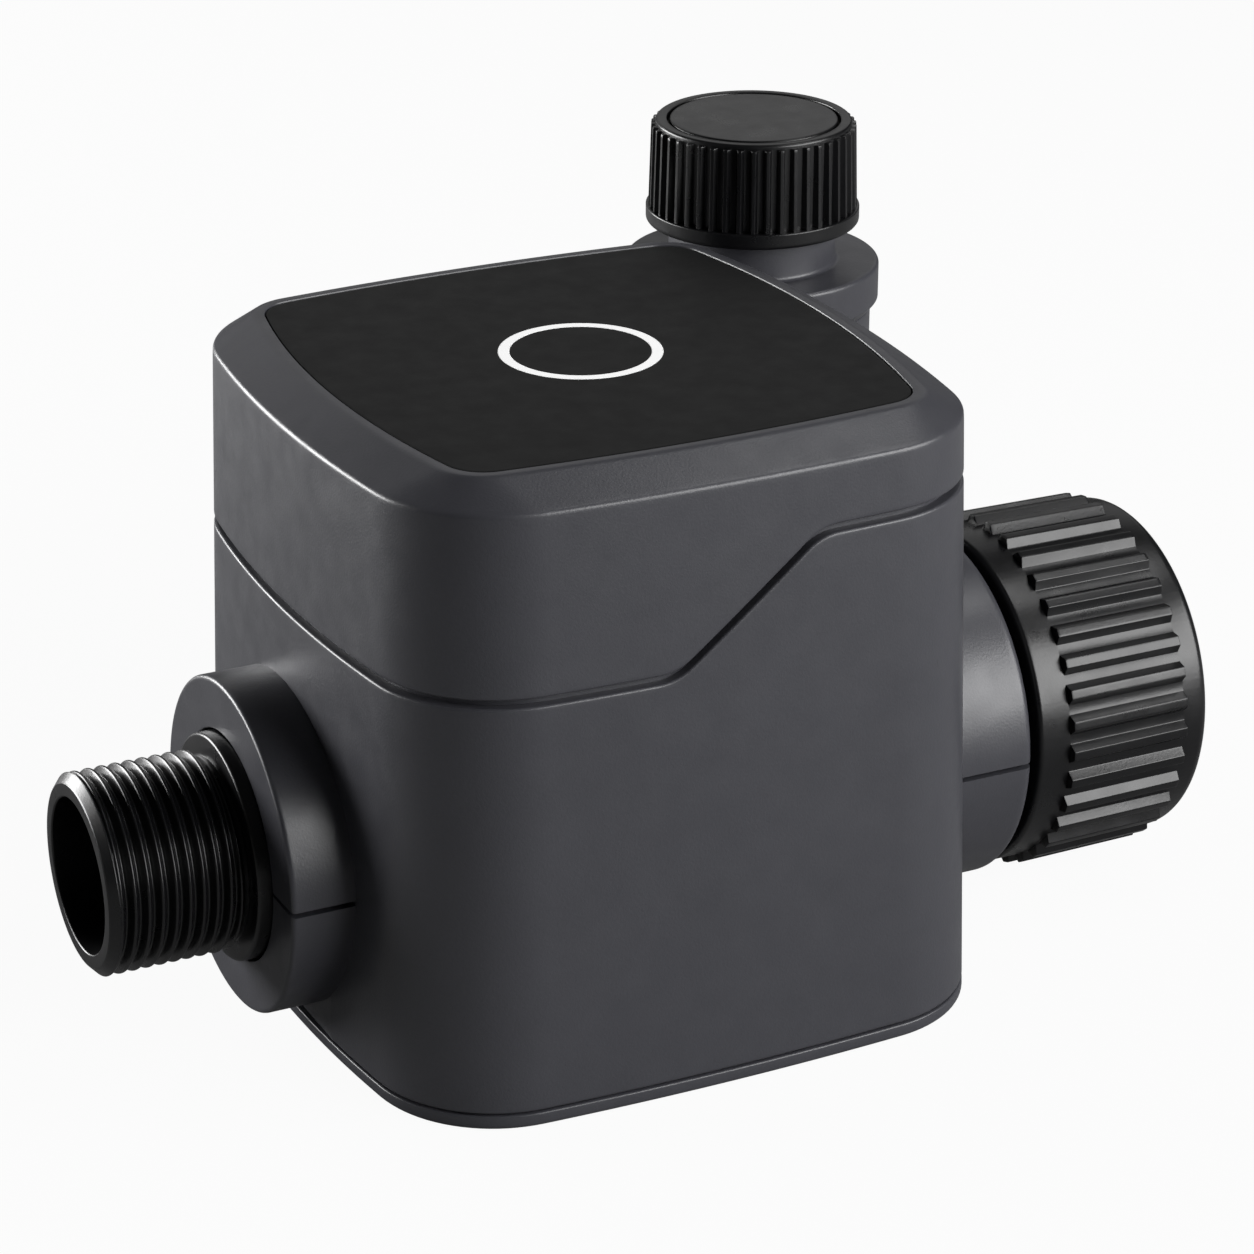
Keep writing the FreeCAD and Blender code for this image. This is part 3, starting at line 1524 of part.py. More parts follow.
def knob_disc():
    low = knob_high - knob_disc_thickness
    return turned_z([
        (0, low),
        (knob_disc_radius, low),
        (knob_disc_radius, knob_high - knob_disc_edge),
        (knob_disc_radius - knob_disc_edge, knob_high),
        (0, knob_high),
    ], tower_x, tower_y)


def main_board():
    half_x = board_half_width
    half_y = board_half_depth
    board = box(-half_x, half_x, -half_y, half_y, board_low, board_high)
    for x, y in screw_places():
        board = board.cut(rod_z(screw_boss_radius + boss_hole_room, board_low, board_high, x, y))
    for x, y in standoff_places():
        board = board.cut(rod_z(board_screw_radius + screw_room, board_low, board_high, x, y))
    return board


def board_screws():
    end = board_low - board_screw_depth
    return Part.makeCompound([
        pan_screw(x, y, board_high, end, board_screw_radius) for x, y in standoff_places()
    ])


def radio_module():
    right = radio_x + radio_width
    module = box(radio_x, right, radio_y, radio_y + radio_depth, board_high, board_high + radio_height)
    left = radio_x + antenna_inset
    antenna = box(
        left, right - antenna_inset,
        radio_y - antenna_depth, radio_y,
        board_high, board_high + antenna_height,
    )
    return module.fuse(antenna)


def capacitors():
    height = board_high + capacitor_radius
    right = capacitor_x + capacitor_length
    return Part.makeCompound([
        rod_x(capacitor_radius, capacitor_x, right, y, height) for y in capacitor_rows
    ])


def battery_tray():
    """Open box for the cells, screwed up under the cover by four ears."""
    half_x = tray_half_width
    half_y = tray_half_depth
    wall_top = cell_height + tray_wall_rise
    tray = box(-half_x, half_x, -half_y, half_y, tray_low, wall_top)
    inner_x = half_x - tray_wall
    inner_y = half_y - tray_wall
    tray = tray.cut(box(-inner_x, inner_x, -inner_y, inner_y, tray_inside, wall_top))
    for x, y in tray_ear_places():
        ear = rod_z(tray_ear_radius, tray_low, tray_inside, x, y)
        bridge = box(x - tray_ear_radius, x + tray_ear_radius, min(y, 0), max(y, 0), tray_low, tray_inside)
        tray = tray.fuse([ear, bridge])
    for x, y in tray_ear_places():
        tray = tray.cut(rod_z(board_screw_radius + screw_room, tray_low, tray_inside, x, y))
    for x, y in screw_places():
        tray = tray.cut(rod_z(screw_boss_radius + boss_hole_room, tray_low, wall_top, x, y))
    return tray


def tray_screws():
    screws = []
    for x, y in tray_ear_places():
        head_low = tray_low - pan_height_ratio * board_screw_radius
        head = rod_z(pan_head_ratio * board_screw_radius, head_low, tray_low, x, y)
        shank = rod_z(board_screw_radius, tray_low, tray_inside + tray_screw_depth, x, y)
        screws.append(head.fuse(shank))
    return Part.makeCompound(screws)


def cell_places():
    step = 2 * cell_radius + cell_gap
    return [(index - (cell_count - 1) / 2) * step for index in range(cell_count)]


def battery_cells():
    cells = []
    for index, x in enumerate(cell_places()):
        sign = 1 if index % 2 else -1
        can_half = (cell_length - cell_pole_length) / 2
        middle = -sign * cell_pole_length / 2
        can = rod_y(cell_radius, middle - can_half, middle + can_half, x, cell_height)
        pole_start = middle + sign * can_half
        pole_end = pole_start + sign * cell_pole_length
        pole = rod_y(cell_pole_radius, min(pole_start, pole_end), max(pole_start, pole_end), x, cell_height)
        cells.append(can.fuse(pole))
    return Part.makeCompound(cells)


def battery_contacts():
    """Sprung contact plates at both ends of the cells."""
    plates = []
    for x in cell_places():
        for sign in (-1, 1):
            wall = sign * (cell_length / 2 + contact_room + contact_thickness)
            inner = wall - sign * contact_thickness
            left = x - contact_half_width
            right = x + contact_half_width
            top = cell_height + contact_rise
            plate = box(left, right, min(wall, inner), max(wall, inner), tray_inside, top)
            nub_end = sign * cell_length / 2
            nub = rod_y(contact_nub_radius, min(nub_end, inner), max(nub_end, inner), x, cell_height)
            plates.append(plate.fuse(nub))
    return Part.makeCompound(plates)


NODES = {
    "upper_cover": upper_cover,
    "top_panel": top_panel,
    "light_ring": light_ring,
    "light_board": light_board,
    "casing_gasket": casing_gasket,
    "lower_housing": lower_housing,
    "bottom_cover": bottom_cover,
    "casing_screws": casing_screws,
    "outlet_spigot": outlet_spigot,
    "outlet_o_ring": lambda: socket_o_ring(-1),
    "valve_body": valve_body,
    "outlet_seat": lambda: seat_ring(-1),
    "inlet_seat": lambda: seat_ring(1),
    "valve_ball": valve_ball,
    "ball_stem": ball_stem,
    "stem_o_rings": stem_o_rings,
    "drive_gear": drive_gear,
    "idler_gear": idler_gear,
    "idler_shaft": idler_shaft,
    "drive_pinion": drive_pinion,
    "motor_shaft": motor_shaft,
    "gear_motor": gear_motor,
    "gear_deck": gear_deck,
    "gear_cover": gear_cover,
    "deck_screws": deck_screws,
    "gear_cover_screws": gear_cover_screws,
    "rotor_cage_outlet": lambda: rotor_cage(chamber_start),
    "rotor_cage_inlet": lambda: rotor_cage(valve_half_length - socket_depth - cage_length),
    "rotor_axle": rotor_axle,
    "flow_rotor": flow_rotor,
    "inlet_tee": inlet_tee,
    "inlet_o_ring": lambda: socket_o_ring(1),
    "retaining_ring": retaining_ring,
    "union_nut": union_nut,
    "union_washer": union_washer,
    "inlet_strainer": inlet_strainer,
    "tower_bonnet": tower_bonnet,
    "drain_stem_o_ring": drain_stem_o_ring,
    "drain_stem": drain_stem,
    "drain_plug": drain_plug,
    "plug_seal": plug_seal,
    "drain_knob": drain_knob,
    "knob_disc": knob_disc,
    "main_board": main_board,
    "board_screws": board_screws,
    "radio_module": radio_module,
    "capacitors": capacitors,
    "battery_tray": battery_tray,
    "tray_screws": tray_screws,
    "battery_cells": battery_cells,
    "battery_contacts": battery_contacts,
}


def main():
    os.makedirs("parts", exist_ok=True)
    for name, make in NODES.items():
        shape = make()
        shape.exportStep("parts/" + name + ".step")
        low = shape.BoundBox
        print(name, "valid", shape.isValid(), "solids", len(shape.Solids), "volume", round(shape.Volume, 1),
              "x", round(low.XMin, 1), round(low.XMax, 1), "y", round(low.YMin, 1), round(low.YMax, 1),
              "z", round(low.ZMin, 1), round(low.ZMax, 1))


main()
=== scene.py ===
import json
import math
import bmesh
import bpy
import numpy as np
from mathutils import Matrix, Vector


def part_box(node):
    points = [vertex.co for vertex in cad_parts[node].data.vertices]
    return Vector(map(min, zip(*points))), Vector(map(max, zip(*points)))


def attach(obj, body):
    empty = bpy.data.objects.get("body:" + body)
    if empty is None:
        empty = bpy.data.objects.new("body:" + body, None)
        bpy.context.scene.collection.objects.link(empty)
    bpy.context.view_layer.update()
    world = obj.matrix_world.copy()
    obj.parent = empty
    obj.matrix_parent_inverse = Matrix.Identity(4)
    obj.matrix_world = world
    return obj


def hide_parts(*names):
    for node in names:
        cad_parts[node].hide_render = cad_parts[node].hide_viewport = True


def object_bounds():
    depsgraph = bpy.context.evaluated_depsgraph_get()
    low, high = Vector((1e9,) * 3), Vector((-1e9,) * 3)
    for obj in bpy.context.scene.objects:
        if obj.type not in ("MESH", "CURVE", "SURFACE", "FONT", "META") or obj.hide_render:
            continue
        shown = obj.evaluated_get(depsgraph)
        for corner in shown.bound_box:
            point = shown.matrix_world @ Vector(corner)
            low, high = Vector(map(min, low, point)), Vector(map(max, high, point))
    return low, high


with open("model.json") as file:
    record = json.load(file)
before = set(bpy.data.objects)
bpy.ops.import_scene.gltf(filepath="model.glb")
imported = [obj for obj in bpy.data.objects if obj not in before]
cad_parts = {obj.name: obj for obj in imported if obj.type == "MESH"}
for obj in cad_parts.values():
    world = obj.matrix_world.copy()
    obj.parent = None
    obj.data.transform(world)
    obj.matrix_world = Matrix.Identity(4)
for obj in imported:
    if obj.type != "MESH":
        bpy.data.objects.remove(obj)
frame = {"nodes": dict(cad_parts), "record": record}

# A smart irrigation controller in a moulded casing. The frame is in metres; the shapes below are
# worked out in millimetres and turned into metres when a mesh is made.
MILLIMETRE = 0.001
cad_low, cad_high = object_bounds()


def corners(node):
    """Lowest and highest corner of a CAD node, in millimetres."""
    low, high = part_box(node)
    return [value / MILLIMETRE for value in low], [value / MILLIMETRE for value in high]


cover_high = corners("upper_cover")[1]
panel_low, panel_high = corners("top_panel")
ring_high = corners("light_ring")[1]
spigot_low = corners("outlet_spigot")[0]
nut_low, nut_high = corners("union_nut")
tee_high = corners("inlet_tee")[1]
bonnet_low, bonnet_high = corners("tower_bonnet")
knob_low, knob_high = corners("drain_knob")
disc_low, disc_high = corners("knob_disc")
valve_low, valve_high = corners("valve_body")

# Casing
casing_top = cover_high[2]
casing_half_width = 41.5
casing_half_depth = 42.0
side_bow = 4.5
front_bow = 2.2
corner_radius = 17.2
base_flare = 2.0
chamfer_inset = 5.5
chamfer_height = 3.2
chamfer_low = casing_top - chamfer_height
rim_corner_radius = 6.6
rim_width = 1.3
recess_corner_radius = 5.4
panel_floor = panel_low[2]
casing_wall = 2.5
roof_thickness = 2.0
roof_low = panel_floor - roof_thickness
board_hole_radius = 14.5
wall_rounding = 0.5
rim_rounding = 0.3
seam_rounding = 0.35

# Parting line
parting_low = 57.5
parting_high = 73.0
ramp_start = -7.0
ramp_end = 12.5
ramp_bend_radius = 7.0
parting_gap = 1.1
groove_depth = 1.3
tongue_room = 0.1
tongue_rise = 2.4
gasket_height = 1.2

# Base and the bosses that its screws go through
base_thickness = 2.0
base_seam = 0.3
base_rounding = 0.8
base_top_rounding = 0.25
underside_inset = 6.0
lip_room = 0.1
lip_width = 1.5
lip_height = 3.0
screw_recess_radius = 3.15
screw_recess_height = 2.9
screw_x = 28.5
screw_y = 31.5
screw_places = [(x * screw_x, y * screw_y) for x in (-1, 1) for y in (-1, 1)]
boss_radius = 4.0
boss_foot = 5.3
boss_joint_height = 50.0
boss_overlap = 0.5
boss_edge = 0.2
cut_overrun = 1.0
slot_foot = -5.0

# Pipe and its collars, each in two halves
axis_height = (nut_low[2] + nut_high[2]) / 2
pipe_centre = (0, axis_height)
wall_face = casing_half_width + base_flare * (1 - axis_height / chamfer_low)
outlet_collar_radius = 22.2
outlet_collar_length = 7.3
outlet_hole_radius = 15.3
inlet_collar_radius = 24.5
inlet_collar_length = 12.6
inlet_collar_wall = 3.0
inlet_hole_radius = 14.3
collar_split = 0.7
collar_edge = 0.55
collar_hole_edge = 0.2
collar_root = casing_half_width - 0.4 * casing_wall
inlet_edge = 1.2
inlet_hole_edge = 0.3
inlet_collar_floor = 1.0
web_room = 0.15
web_inside_room = 0.2
web_outside_room = 0.3
socket_depth = 7.0
flange_thickness = 2.5
flange_radius = 18.0
nose_radius = 12.5
pipe_bore_radius = 8.0
pipe_segments = 96

# Panel and light ring
panel_room = 0.12
panel_edge = 0.15
ring_outer = ring_high[0]
ring_inner = ring_outer - 1.5
ring_depth = 0.9
ring_room = 0.02
ring_margin = 0.4
ring_edge = 0.08

# Spigot
thread_radius = 13.22
thread_depth = 1.162
thread_root = thread_radius - thread_depth
thread_pitch = 1.814
thread_turns = 10
thread_relief = 0.5
thread_hollow = 0.4
thread_run_out = 0.5
thread_rise_end = 1.6
shoulder_radius = 15.0
shoulder_edge = 0.45
mouth_length = 1.1
mouth_face_radius = 12.0
mouth_edge = 0.05
mouth_rounding = 0.18
spigot_bore_radius = 10.2
spigot_bore_edge = 0.15
spigot_bore_start = 1.2
spigot_bore_depth = 24.0

# Nut
nut_radius = (nut_high[2] - nut_low[2]) / 2
nut_band = 4.7
nut_ribs = 18.2
nut_rib_count = 36
nut_rib_taper = 0.2
nut_rib_crest = 0.15
nut_rib_foot = 0.33
nut_band_radius = nut_radius - 1.2
nut_rim_radius = nut_radius - 1.3
nut_hole_radius = 14.3
nut_relief_radius = 16.9
nut_back_wall = 5.4
nut_thread_minor = 15.145
nut_thread_major = 16.62
nut_pitch = 2.309
nut_turns = 5
nut_mouth = 1.5
nut_mouth_step = 0.5
nut_thread_lead = 0.6
nut_thread_ease = 1.5
nut_thread_fade = 1.0
nut_rim_rounding = 2.1
nut_band_support = 1.0
nut_rim_support = 0.5

# Tower
tower_x = (knob_low[0] + knob_high[0]) / 2
tower_y = (knob_low[1] + knob_high[1]) / 2
tower_centre = (tower_x, tower_y)
bonnet_radius = (bonnet_high[0] - bonnet_low[0]) / 2
bonnet_height = 6.7
neck_height = 5.4
neck_radius = 12.0
neck_edge = 0.4
neck_fillet = 0.6
tower_top = bonnet_high[2] - bonnet_height - neck_height
bonnet_top = tower_top + bonnet_height
bonnet_edge = 0.6
bonnet_bevel = 1.3
bonnet_bevel_width = 1.04
bonnet_roof = 1.6
bonnet_skirt_radius = 15.2
guide_radius = 6.0
stem_hole_radius = 3.1
barrel_low = 12.0
barrel_radius = 13.0
barrel_shoulder_low = 46.0
barrel_shoulder_high = 54.0
barrel_top_radius = 17.2
barrel_neck_radius = 15.0
barrel_neck_height = 5.0
barrel_bore_radius = 13.2
barrel_bore_low = 62.2
chamber_radius = 9.0
chamber_low = 38.5
chamber_high = 58.0
seat_hole_radius = 5.0
seat_hole_low = 35.5
drain_hole_radius = 0.8
branch_bore_radius = 3.6
branch_root_radius = 5.5
branch_radius = 7.0
branch_setback = 7.0
branch_start = 11.0
branch_step = 1.5
branch_reach = 11.5
spout_height = 42.5
spout_bore_radius = 2.5
spout_radius = 4.5
spout_root = 10.5
tee_pipe_radius = 14.0
tee_bore_radius = 9.5
tee_bore_low = 3.0
tee_bore_high = 4.5
clip_groove_radius = 12.8
clip_groove_width = 2.0
clip_room = 0.3
knob_radius = (knob_high[0] - knob_low[0]) / 2
knob_rib_radius = 14.95
knob_rib_foot_radius = 14.9
knob_rib_draft = 0.35
knob_rib_count = 46
knob_rib_crest = 0.13
knob_rib_foot = 0.29
knob_band = 2.3
knob_shoulder = 0.7
knob_top_radius = 13.95
knob_top_edge = 0.4
knob_inside_radius = 12.0
knob_roof = 3.0
knob_disc_depth = 1.4
knob_stem_hole = 4.0
disc_groove = 0.35
groove_edge = 0.25
groove_bevel = 0.08
disc_edge = 0.35
disc_rim = 0.8
disc_dish = 0.08


# Mesh making

def unit(vector):
    return vector / np.linalg.norm(vector)


def fillet(points, segments=4, support=0.4):
    """Rounds the corners of a closed line of (along, out) points. A third number in a point is the
    radius at its corner. Points beside each rounding keep flat stretches flat under smooth shading."""
    places = [np.array(point[:2], float) for point in points]
    line = []
    for index, corner in enumerate(places):
        radius = points[index][2] if len(points[index]) > 2 else 0
        before = places[index - 1] - corner
        after = places[(index + 1) % len(places)] - corner
        before_length = np.linalg.norm(before)
        after_length = np.linalg.norm(after)
        before /= before_length
        after /= after_length
        angle = math.acos(max(-1.0, min(1.0, float(before @ after))))
        if radius <= 0 or angle > math.pi - 0.02:
            line.append(tuple(corner))
            continue
        tangent = min(radius / math.tan(angle / 2), 0.45 * before_length, 0.45 * after_length)
        arc_radius = tangent * math.tan(angle / 2)
        centre = corner + unit(before + after) * arc_radius / math.sin(angle / 2)
        start = corner + before * tangent
        end = corner + after * tangent
        reach = support * arc_radius
        if before_length * 0.5 > tangent + reach:
            line.append(tuple(start + before * reach))
        first = start - centre
        last = end - centre
        sweep = math.pi - angle
        for step in range(segments + 1):
            share = step / segments
            swung = first * math.sin((1 - share) * sweep) + last * math.sin(share * sweep)
            line.append(tuple(centre + swung / math.sin(sweep)))
        if after_length * 0.5 > tangent + reach:
            line.append(tuple(end + after * reach))
    return line


def link_object(name, data):
    obj = bpy.data.objects.new(name, data)
    bpy.context.scene.collection.objects.link(obj)
    return obj


class Shape:
    """Points and faces of one piece, gathered from several closed solids."""

    def __init__(self):
        self.points = []
        self.faces = []

    def add_rings(self, rings, closed_ring=True, capped=False):
        """Joins rings of equal length with quads. The last ring joins the first, unless both are
        capped. Rings that aren't closed get a face at each end."""
        stack = np.array(rings, float)
        count, size = stack.shape[:2]
        faces = []
        for ring in range(count - 1 if capped else count):
            near = ring * size
            far = (ring + 1) % count * size
            for step in range(size if closed_ring else size - 1):
                beside = (step + 1) % size
                faces.append((near + step, near + beside, far + beside, far + step))
        if capped:
            faces.append(range(size))
            faces.append(range((count - 1) * size, count * size))
        if not closed_ring:
            faces.append(range(0, count * size, size))
            faces.append(range(size - 1, count * size, size))
        start = len(self.points)
        self.points.extend(stack.reshape(-1, 3).tolist())
        self.faces.extend([tuple(index + start for index in face) for face in faces])

    def make(self, name, sharp=40):
        """The gathered solids as one object, smooth except across edges sharper than the angle."""
        mesh = bpy.data.meshes.new(name)
        scaled = np.array(self.points) * MILLIMETRE
        mesh.from_pydata(scaled.tolist(), [], self.faces)
        work = bmesh.new()
        work.from_mesh(mesh)
        bmesh.ops.remove_doubles(work, verts=work.verts, dist=1e-7)
        bmesh.ops.recalc_face_normals(work, faces=work.faces)
        work.to_mesh(mesh)
        work.free()
        mesh.shade_smooth()
        mesh.set_sharp_from_angle(angle=math.radians(sharp))
        return link_object(name, mesh)


def turned_ring(along, radius, turns, axis, centre):
    """Points at the angles about an axis through the centre. The radius may be one per angle."""
    columns = [centre[0] + radius * np.cos(turns), centre[1] + radius * np.sin(turns)]
    columns.insert("xyz".index(axis), np.full(len(turns), along))
    return np.column_stack(columns)


def add_turned(shape, profile, axis, centre, segments=128, sweep=(0, 360), capped=False):
    """Adds a solid whose (along, radius) profile turns about the axis. The profile is closed, or
    ends at flat caps. The segments are a number, or the angles themselves for a full turn."""
    full = sweep[1] - sweep[0] >= 360
    turns = segments
    if not hasattr(segments, "__len__"):
        turns = np.radians(np.linspace(*sweep, segments + 1))
        turns = turns[:-1] if full else turns
    rings = [turned_ring(along, radius, turns, axis, centre) for along, radius in profile]
    shape.add_rings(rings, closed_ring=full, capped=capped)


def turned_piece(name, profile, axis, centre, segments=128, capped=False, sharp=40):
    """A piece that is one solid of revolution."""
    shape = Shape()
    add_turned(shape, profile, axis, centre, segments, capped=capped)
    return shape.make(name, sharp)


# Casing outline

SIDE_STEPS = 60
CORNER_STEPS = 20


def arc_points(centre, start, end, steps):
    """Points counter-clockwise about the centre, from the start and without the end."""
    first = math.atan2(*(start - centre)[::-1])
    last = math.atan2(*(end - centre)[::-1])
    if last < first:
        last += 2 * math.pi
    turns = first + (last - first) * np.arange(steps) / steps
    return centre + np.linalg.norm(start - centre) * np.column_stack([np.cos(turns), np.sin(turns)])


def outline(half_x, half_y, corner):
    """Four bowed sides and four corner arcs, tangent to each other, counter-clockwise from the
    front end of the right side."""
    back_radius = (half_x ** 2 + front_bow ** 2) / (2 * front_bow)
    side_radius = (half_y ** 2 + side_bow ** 2) / (2 * side_bow)
    back_centre = np.array([0.0, half_y - back_radius])
    side_centre = np.array([half_x - side_radius, 0.0])
    between = side_centre - back_centre
    distance = np.linalg.norm(between)
    direction = between / distance
    back_reach = back_radius - corner
    side_reach = side_radius - corner
    along = (back_reach ** 2 - side_reach ** 2 + distance ** 2) / (2 * distance)
    across = math.sqrt(back_reach ** 2 - along ** 2)
    normal = np.array([direction[1], -direction[0]])
    centre = back_centre + along * direction + across * normal
    back_tangent = centre + corner * unit(centre - back_centre)
    side_tangent = centre + corner * unit(centre - side_centre)
    mirror = np.array([-1, 1])
    half = [
        (side_centre, -mirror * side_tangent, side_tangent, SIDE_STEPS),
        (centre, side_tangent, back_tangent, CORNER_STEPS),
        (back_centre, back_tangent, mirror * back_tangent, SIDE_STEPS),
        (mirror * centre, mirror * back_tangent, mirror * side_tangent, CORNER_STEPS),
    ]
    points = np.vstack([arc_points(*arc) for arc in half])
    return np.vstack([points, -points])


def mix(first, second, share):
    return first * (1 - share) + second * share


def casing_points(inset, height):
    """The casing's outline at a height, or at one height per point, set in by inset."""
    half_width = casing_half_width - inset
    half_depth = casing_half_depth - inset
    corner = corner_radius - inset
    widest = outline(half_width + base_flare, half_depth + base_flare, corner)
    narrow = outline(half_width, half_depth, corner)
    heights = np.broadcast_to(np.asarray(height, float), len(narrow))
    flat = mix(widest, narrow, (heights / chamfer_low)[:, None])
    return np.column_stack([flat, heights])


def casing_rings(places):
    """Rings of the casing's outline at (inset, height) places."""
    return [casing_points(inset, height) for inset, height in places]


def rim_points(inset, corner, height):
    """Outline of the top's rim, set in by inset."""
    half_width = casing_half_width - chamfer_inset - inset
    half_depth = casing_half_depth - chamfer_inset - inset
    flat = outline(half_width, half_depth, corner)
    return np.column_stack([flat, np.full(len(flat), height)])


def circle_points(radius, height):
    """Circle whose points face those of the casing's outline."""
    flat = outline(casing_half_width, casing_half_depth, corner_radius)
    turns = np.arctan2(flat[:, 1], flat[:, 0])
    return turned_ring(height, radius, turns, "z", (0, 0))


def parting_heights():
    """Height of the parting line at each of the outline's points: low on the left, a ramp with
    round bends, high on the right."""
    x = outline(casing_half_width, casing_half_depth, corner_radius)[:, 0]
    slope = math.atan2(parting_high - parting_low, ramp_end - ramp_start)
    setback = ramp_bend_radius * math.tan(slope / 2)
    reach = setback * math.cos(slope)
    low_in = ramp_start - setback
    high_out = ramp_end + setback
    limits = [x < low_in, x < ramp_start + reach, x < ramp_end - reach, x < high_out]
    heights = [
        parting_low,
        parting_low + ramp_bend_radius - bend(x - low_in),
        parting_low + (x - ramp_start) * math.tan(slope),
        parting_high - ramp_bend_radius + bend(high_out - x),
    ]
    return np.select(limits, heights, parting_high)


def bend(along):
    """Height of a bend's arc above its centre, by the distance from where the bend starts."""
    return np.sqrt(ramp_bend_radius ** 2 - np.clip(along, 0, ramp_bend_radius) ** 2)


def edge_steps(radius, segments=4):
    """(inset, rise) pairs round a quarter turn, from the side face to the end face."""
    turns = [math.pi / 2 * step / segments for step in range(segments + 1)]
    return [(radius * (1 - math.cos(turn)), radius * (1 - math.sin(turn))) for turn in turns]


def lower_edge(radius, height):
    """(inset, height) pairs from the underside of a wall up its rounded lower edge."""
    return [(inset, height + rise) for inset, rise in reversed(edge_steps(radius))]


def upper_edge(radius, height):
    """(inset, height) pairs up the rounded upper edge of a wall to its top."""
    return [(inset, height - rise) for inset, rise in edge_steps(radius)]


def cover_rings():
    """Rings of the upper cover, from its lower outside edge over the rim and down inside."""
    line = parting_heights() + parting_gap / 2
    wall_top = chamfer_low - 2 * wall_rounding
    rebate_top = line + tongue_rise + gasket_height
    bottom = casing_points(0, chamfer_low)
    top = rim_points(0, rim_corner_radius, casing_top)
    return [
        *casing_rings([*lower_edge(seam_rounding, line), (0, line + 2 * seam_rounding), (0, wall_top)]),
        *chamfer_rings(bottom, top),
        *rim_rings(top, rim_points(rim_width, recess_corner_radius, casing_top)),
        rim_points(rim_width, recess_corner_radius, panel_floor),
        circle_points(board_hole_radius, panel_floor),
        circle_points(board_hole_radius, roof_low),
        *casing_rings([(casing_wall, roof_low), (casing_wall, rebate_top)]),
        *casing_rings([(groove_depth, rebate_top), (groove_depth, line)]),
    ]


def chamfer_rings(bottom, top):
    """The sloping band round the top, with its lower edge rounded."""
    rise = top - bottom
    slope = np.linalg.norm(rise, axis=1)[:, None]
    reach = wall_rounding / slope
    below = bottom - [0, 0, wall_rounding]
    above = bottom + rise * reach
    shares = (0, 0.25, 0.5, 0.75, 1)
    return [
        *[mix(mix(below, bottom, share), mix(bottom, above, share), share) for share in shares],
        bottom + rise * 2 * reach,
        mix(bottom, top, 0.5),
        top - rise * 2 * rim_rounding / slope,
        top - rise * rim_rounding / slope,
    ]


def rim_rings(top, inner):
    """The narrow flat rim between the chamfer and the panel's recess. Its two edges are eased by
    shares of the rounding."""
    direction = (inner - top) / np.linalg.norm(inner - top, axis=1)[:, None]
    drop = np.array([0, 0, rim_rounding])
    return [
        top + direction * rim_rounding * 0.35 - drop * 0.12,
        top + direction * rim_rounding,
        inner - direction * rim_rounding * 0.8,
        inner - direction * rim_rounding * 0.3 - drop * 0.12,
        inner - drop * 0.7,
    ]


def make_upper_cover():
    """Cover shell with the upper parts of the screw bosses."""
    shape = Shape()
    shape.add_rings(cover_rings())
    add_bosses(shape, boss_joint_height, roof_low + boss_overlap)
    return shape.make("cover_shell")


def add_bosses(shape, low, high):
    """Round posts between two heights, one for each casing screw."""
    profile = [
        (low, boss_radius - boss_edge),
        (low + boss_edge, boss_radius),
        (high - boss_edge, boss_radius),
        (high, boss_radius - boss_edge),
    ]
    for place in screw_places:
        add_turned(shape, profile, "z", place, 48, capped=True)


def housing_rings():
    """Rings of the lower housing's wall: outside, groove, tongue and inside."""
    low = base_thickness + base_seam
    line = parting_heights() - parting_gap / 2
    tongue_top = parting_heights() + parting_gap / 2 + tongue_rise
    tongue_inset = groove_depth + tongue_room
    return casing_rings([
        *lower_edge(seam_rounding, low),
        (0, low + 2 * seam_rounding),
        (0, line - 2 * seam_rounding),
        *upper_edge(seam_rounding, line),
        (tongue_inset, line),
        (tongue_inset, tongue_top),
        (casing_wall, tongue_top),
        (casing_wall, low),
    ])


def make_lower_housing():
    """The housing's wall, cut where the pipe is lowered in, with the upper collar halves."""
    wall = Shape()
    wall.add_rings(housing_rings())
    body = wall.make("housing_wall")
    cut_slot(body, -1, outlet_hole_radius)
    cut_slot(body, 1, inlet_hole_radius)
    extra = Shape()
    add_collars(extra, upper=True)
    add_bosses(extra, boss_foot, boss_joint_height)
    return join(body, extra.make("housing_collars"), "housing_shell")


def cut_slot(body, side, radius):
    """Takes a slot, round at the top and open below, out of the wall on one side."""
    inner = side * (casing_half_width - 3 * casing_wall)
    outer = side * (wall_face + 2 * casing_wall)
    slot = Shape()
    add_arch(slot, radius, 0, 48, slot_foot, (inner, outer))
    cut_away(body, slot.make("slot_cutter"))


def add_arch(shape, radius, start, steps, foot, places):
    """Adds a bar between two places in x. Its section is half a circle about the pipe's axis, from
    the start angle, with straight sides down to the foot."""
    turns = np.radians(np.linspace(start, start + 180, steps + 1))
    section = [(radius * math.cos(turn), axis_height + radius * math.sin(turn)) for turn in turns]
    section += [(section[-1][0], foot), (section[0][0], foot)]
    shape.add_rings([[(x, y, z) for y, z in section] for x in places], capped=True)


def cut_away(body, cutter):
    """Takes the cutter's space out of the body's mesh, and removes the cutter."""
    modifier = body.modifiers.new("cut", "BOOLEAN")
    modifier.operation = "DIFFERENCE"
    modifier.solver = "EXACT"
    modifier.object = cutter
    graph = bpy.context.evaluated_depsgraph_get()
    result = bpy.data.meshes.new_from_object(body.evaluated_get(graph))
    body.modifiers.clear()
    body.data = result
    bpy.data.objects.remove(cutter)


def join(first, second, name):
    """One object with the faces of both."""
    work = bmesh.new()
    work.from_mesh(first.data)
    work.from_mesh(second.data)
    mesh = bpy.data.meshes.new(name)
    work.to_mesh(mesh)
    work.free()
    mesh.set_sharp_from_angle(angle=math.radians(40))
    bpy.data.objects.remove(first)
    bpy.data.objects.remove(second)
    return link_object(name, mesh)


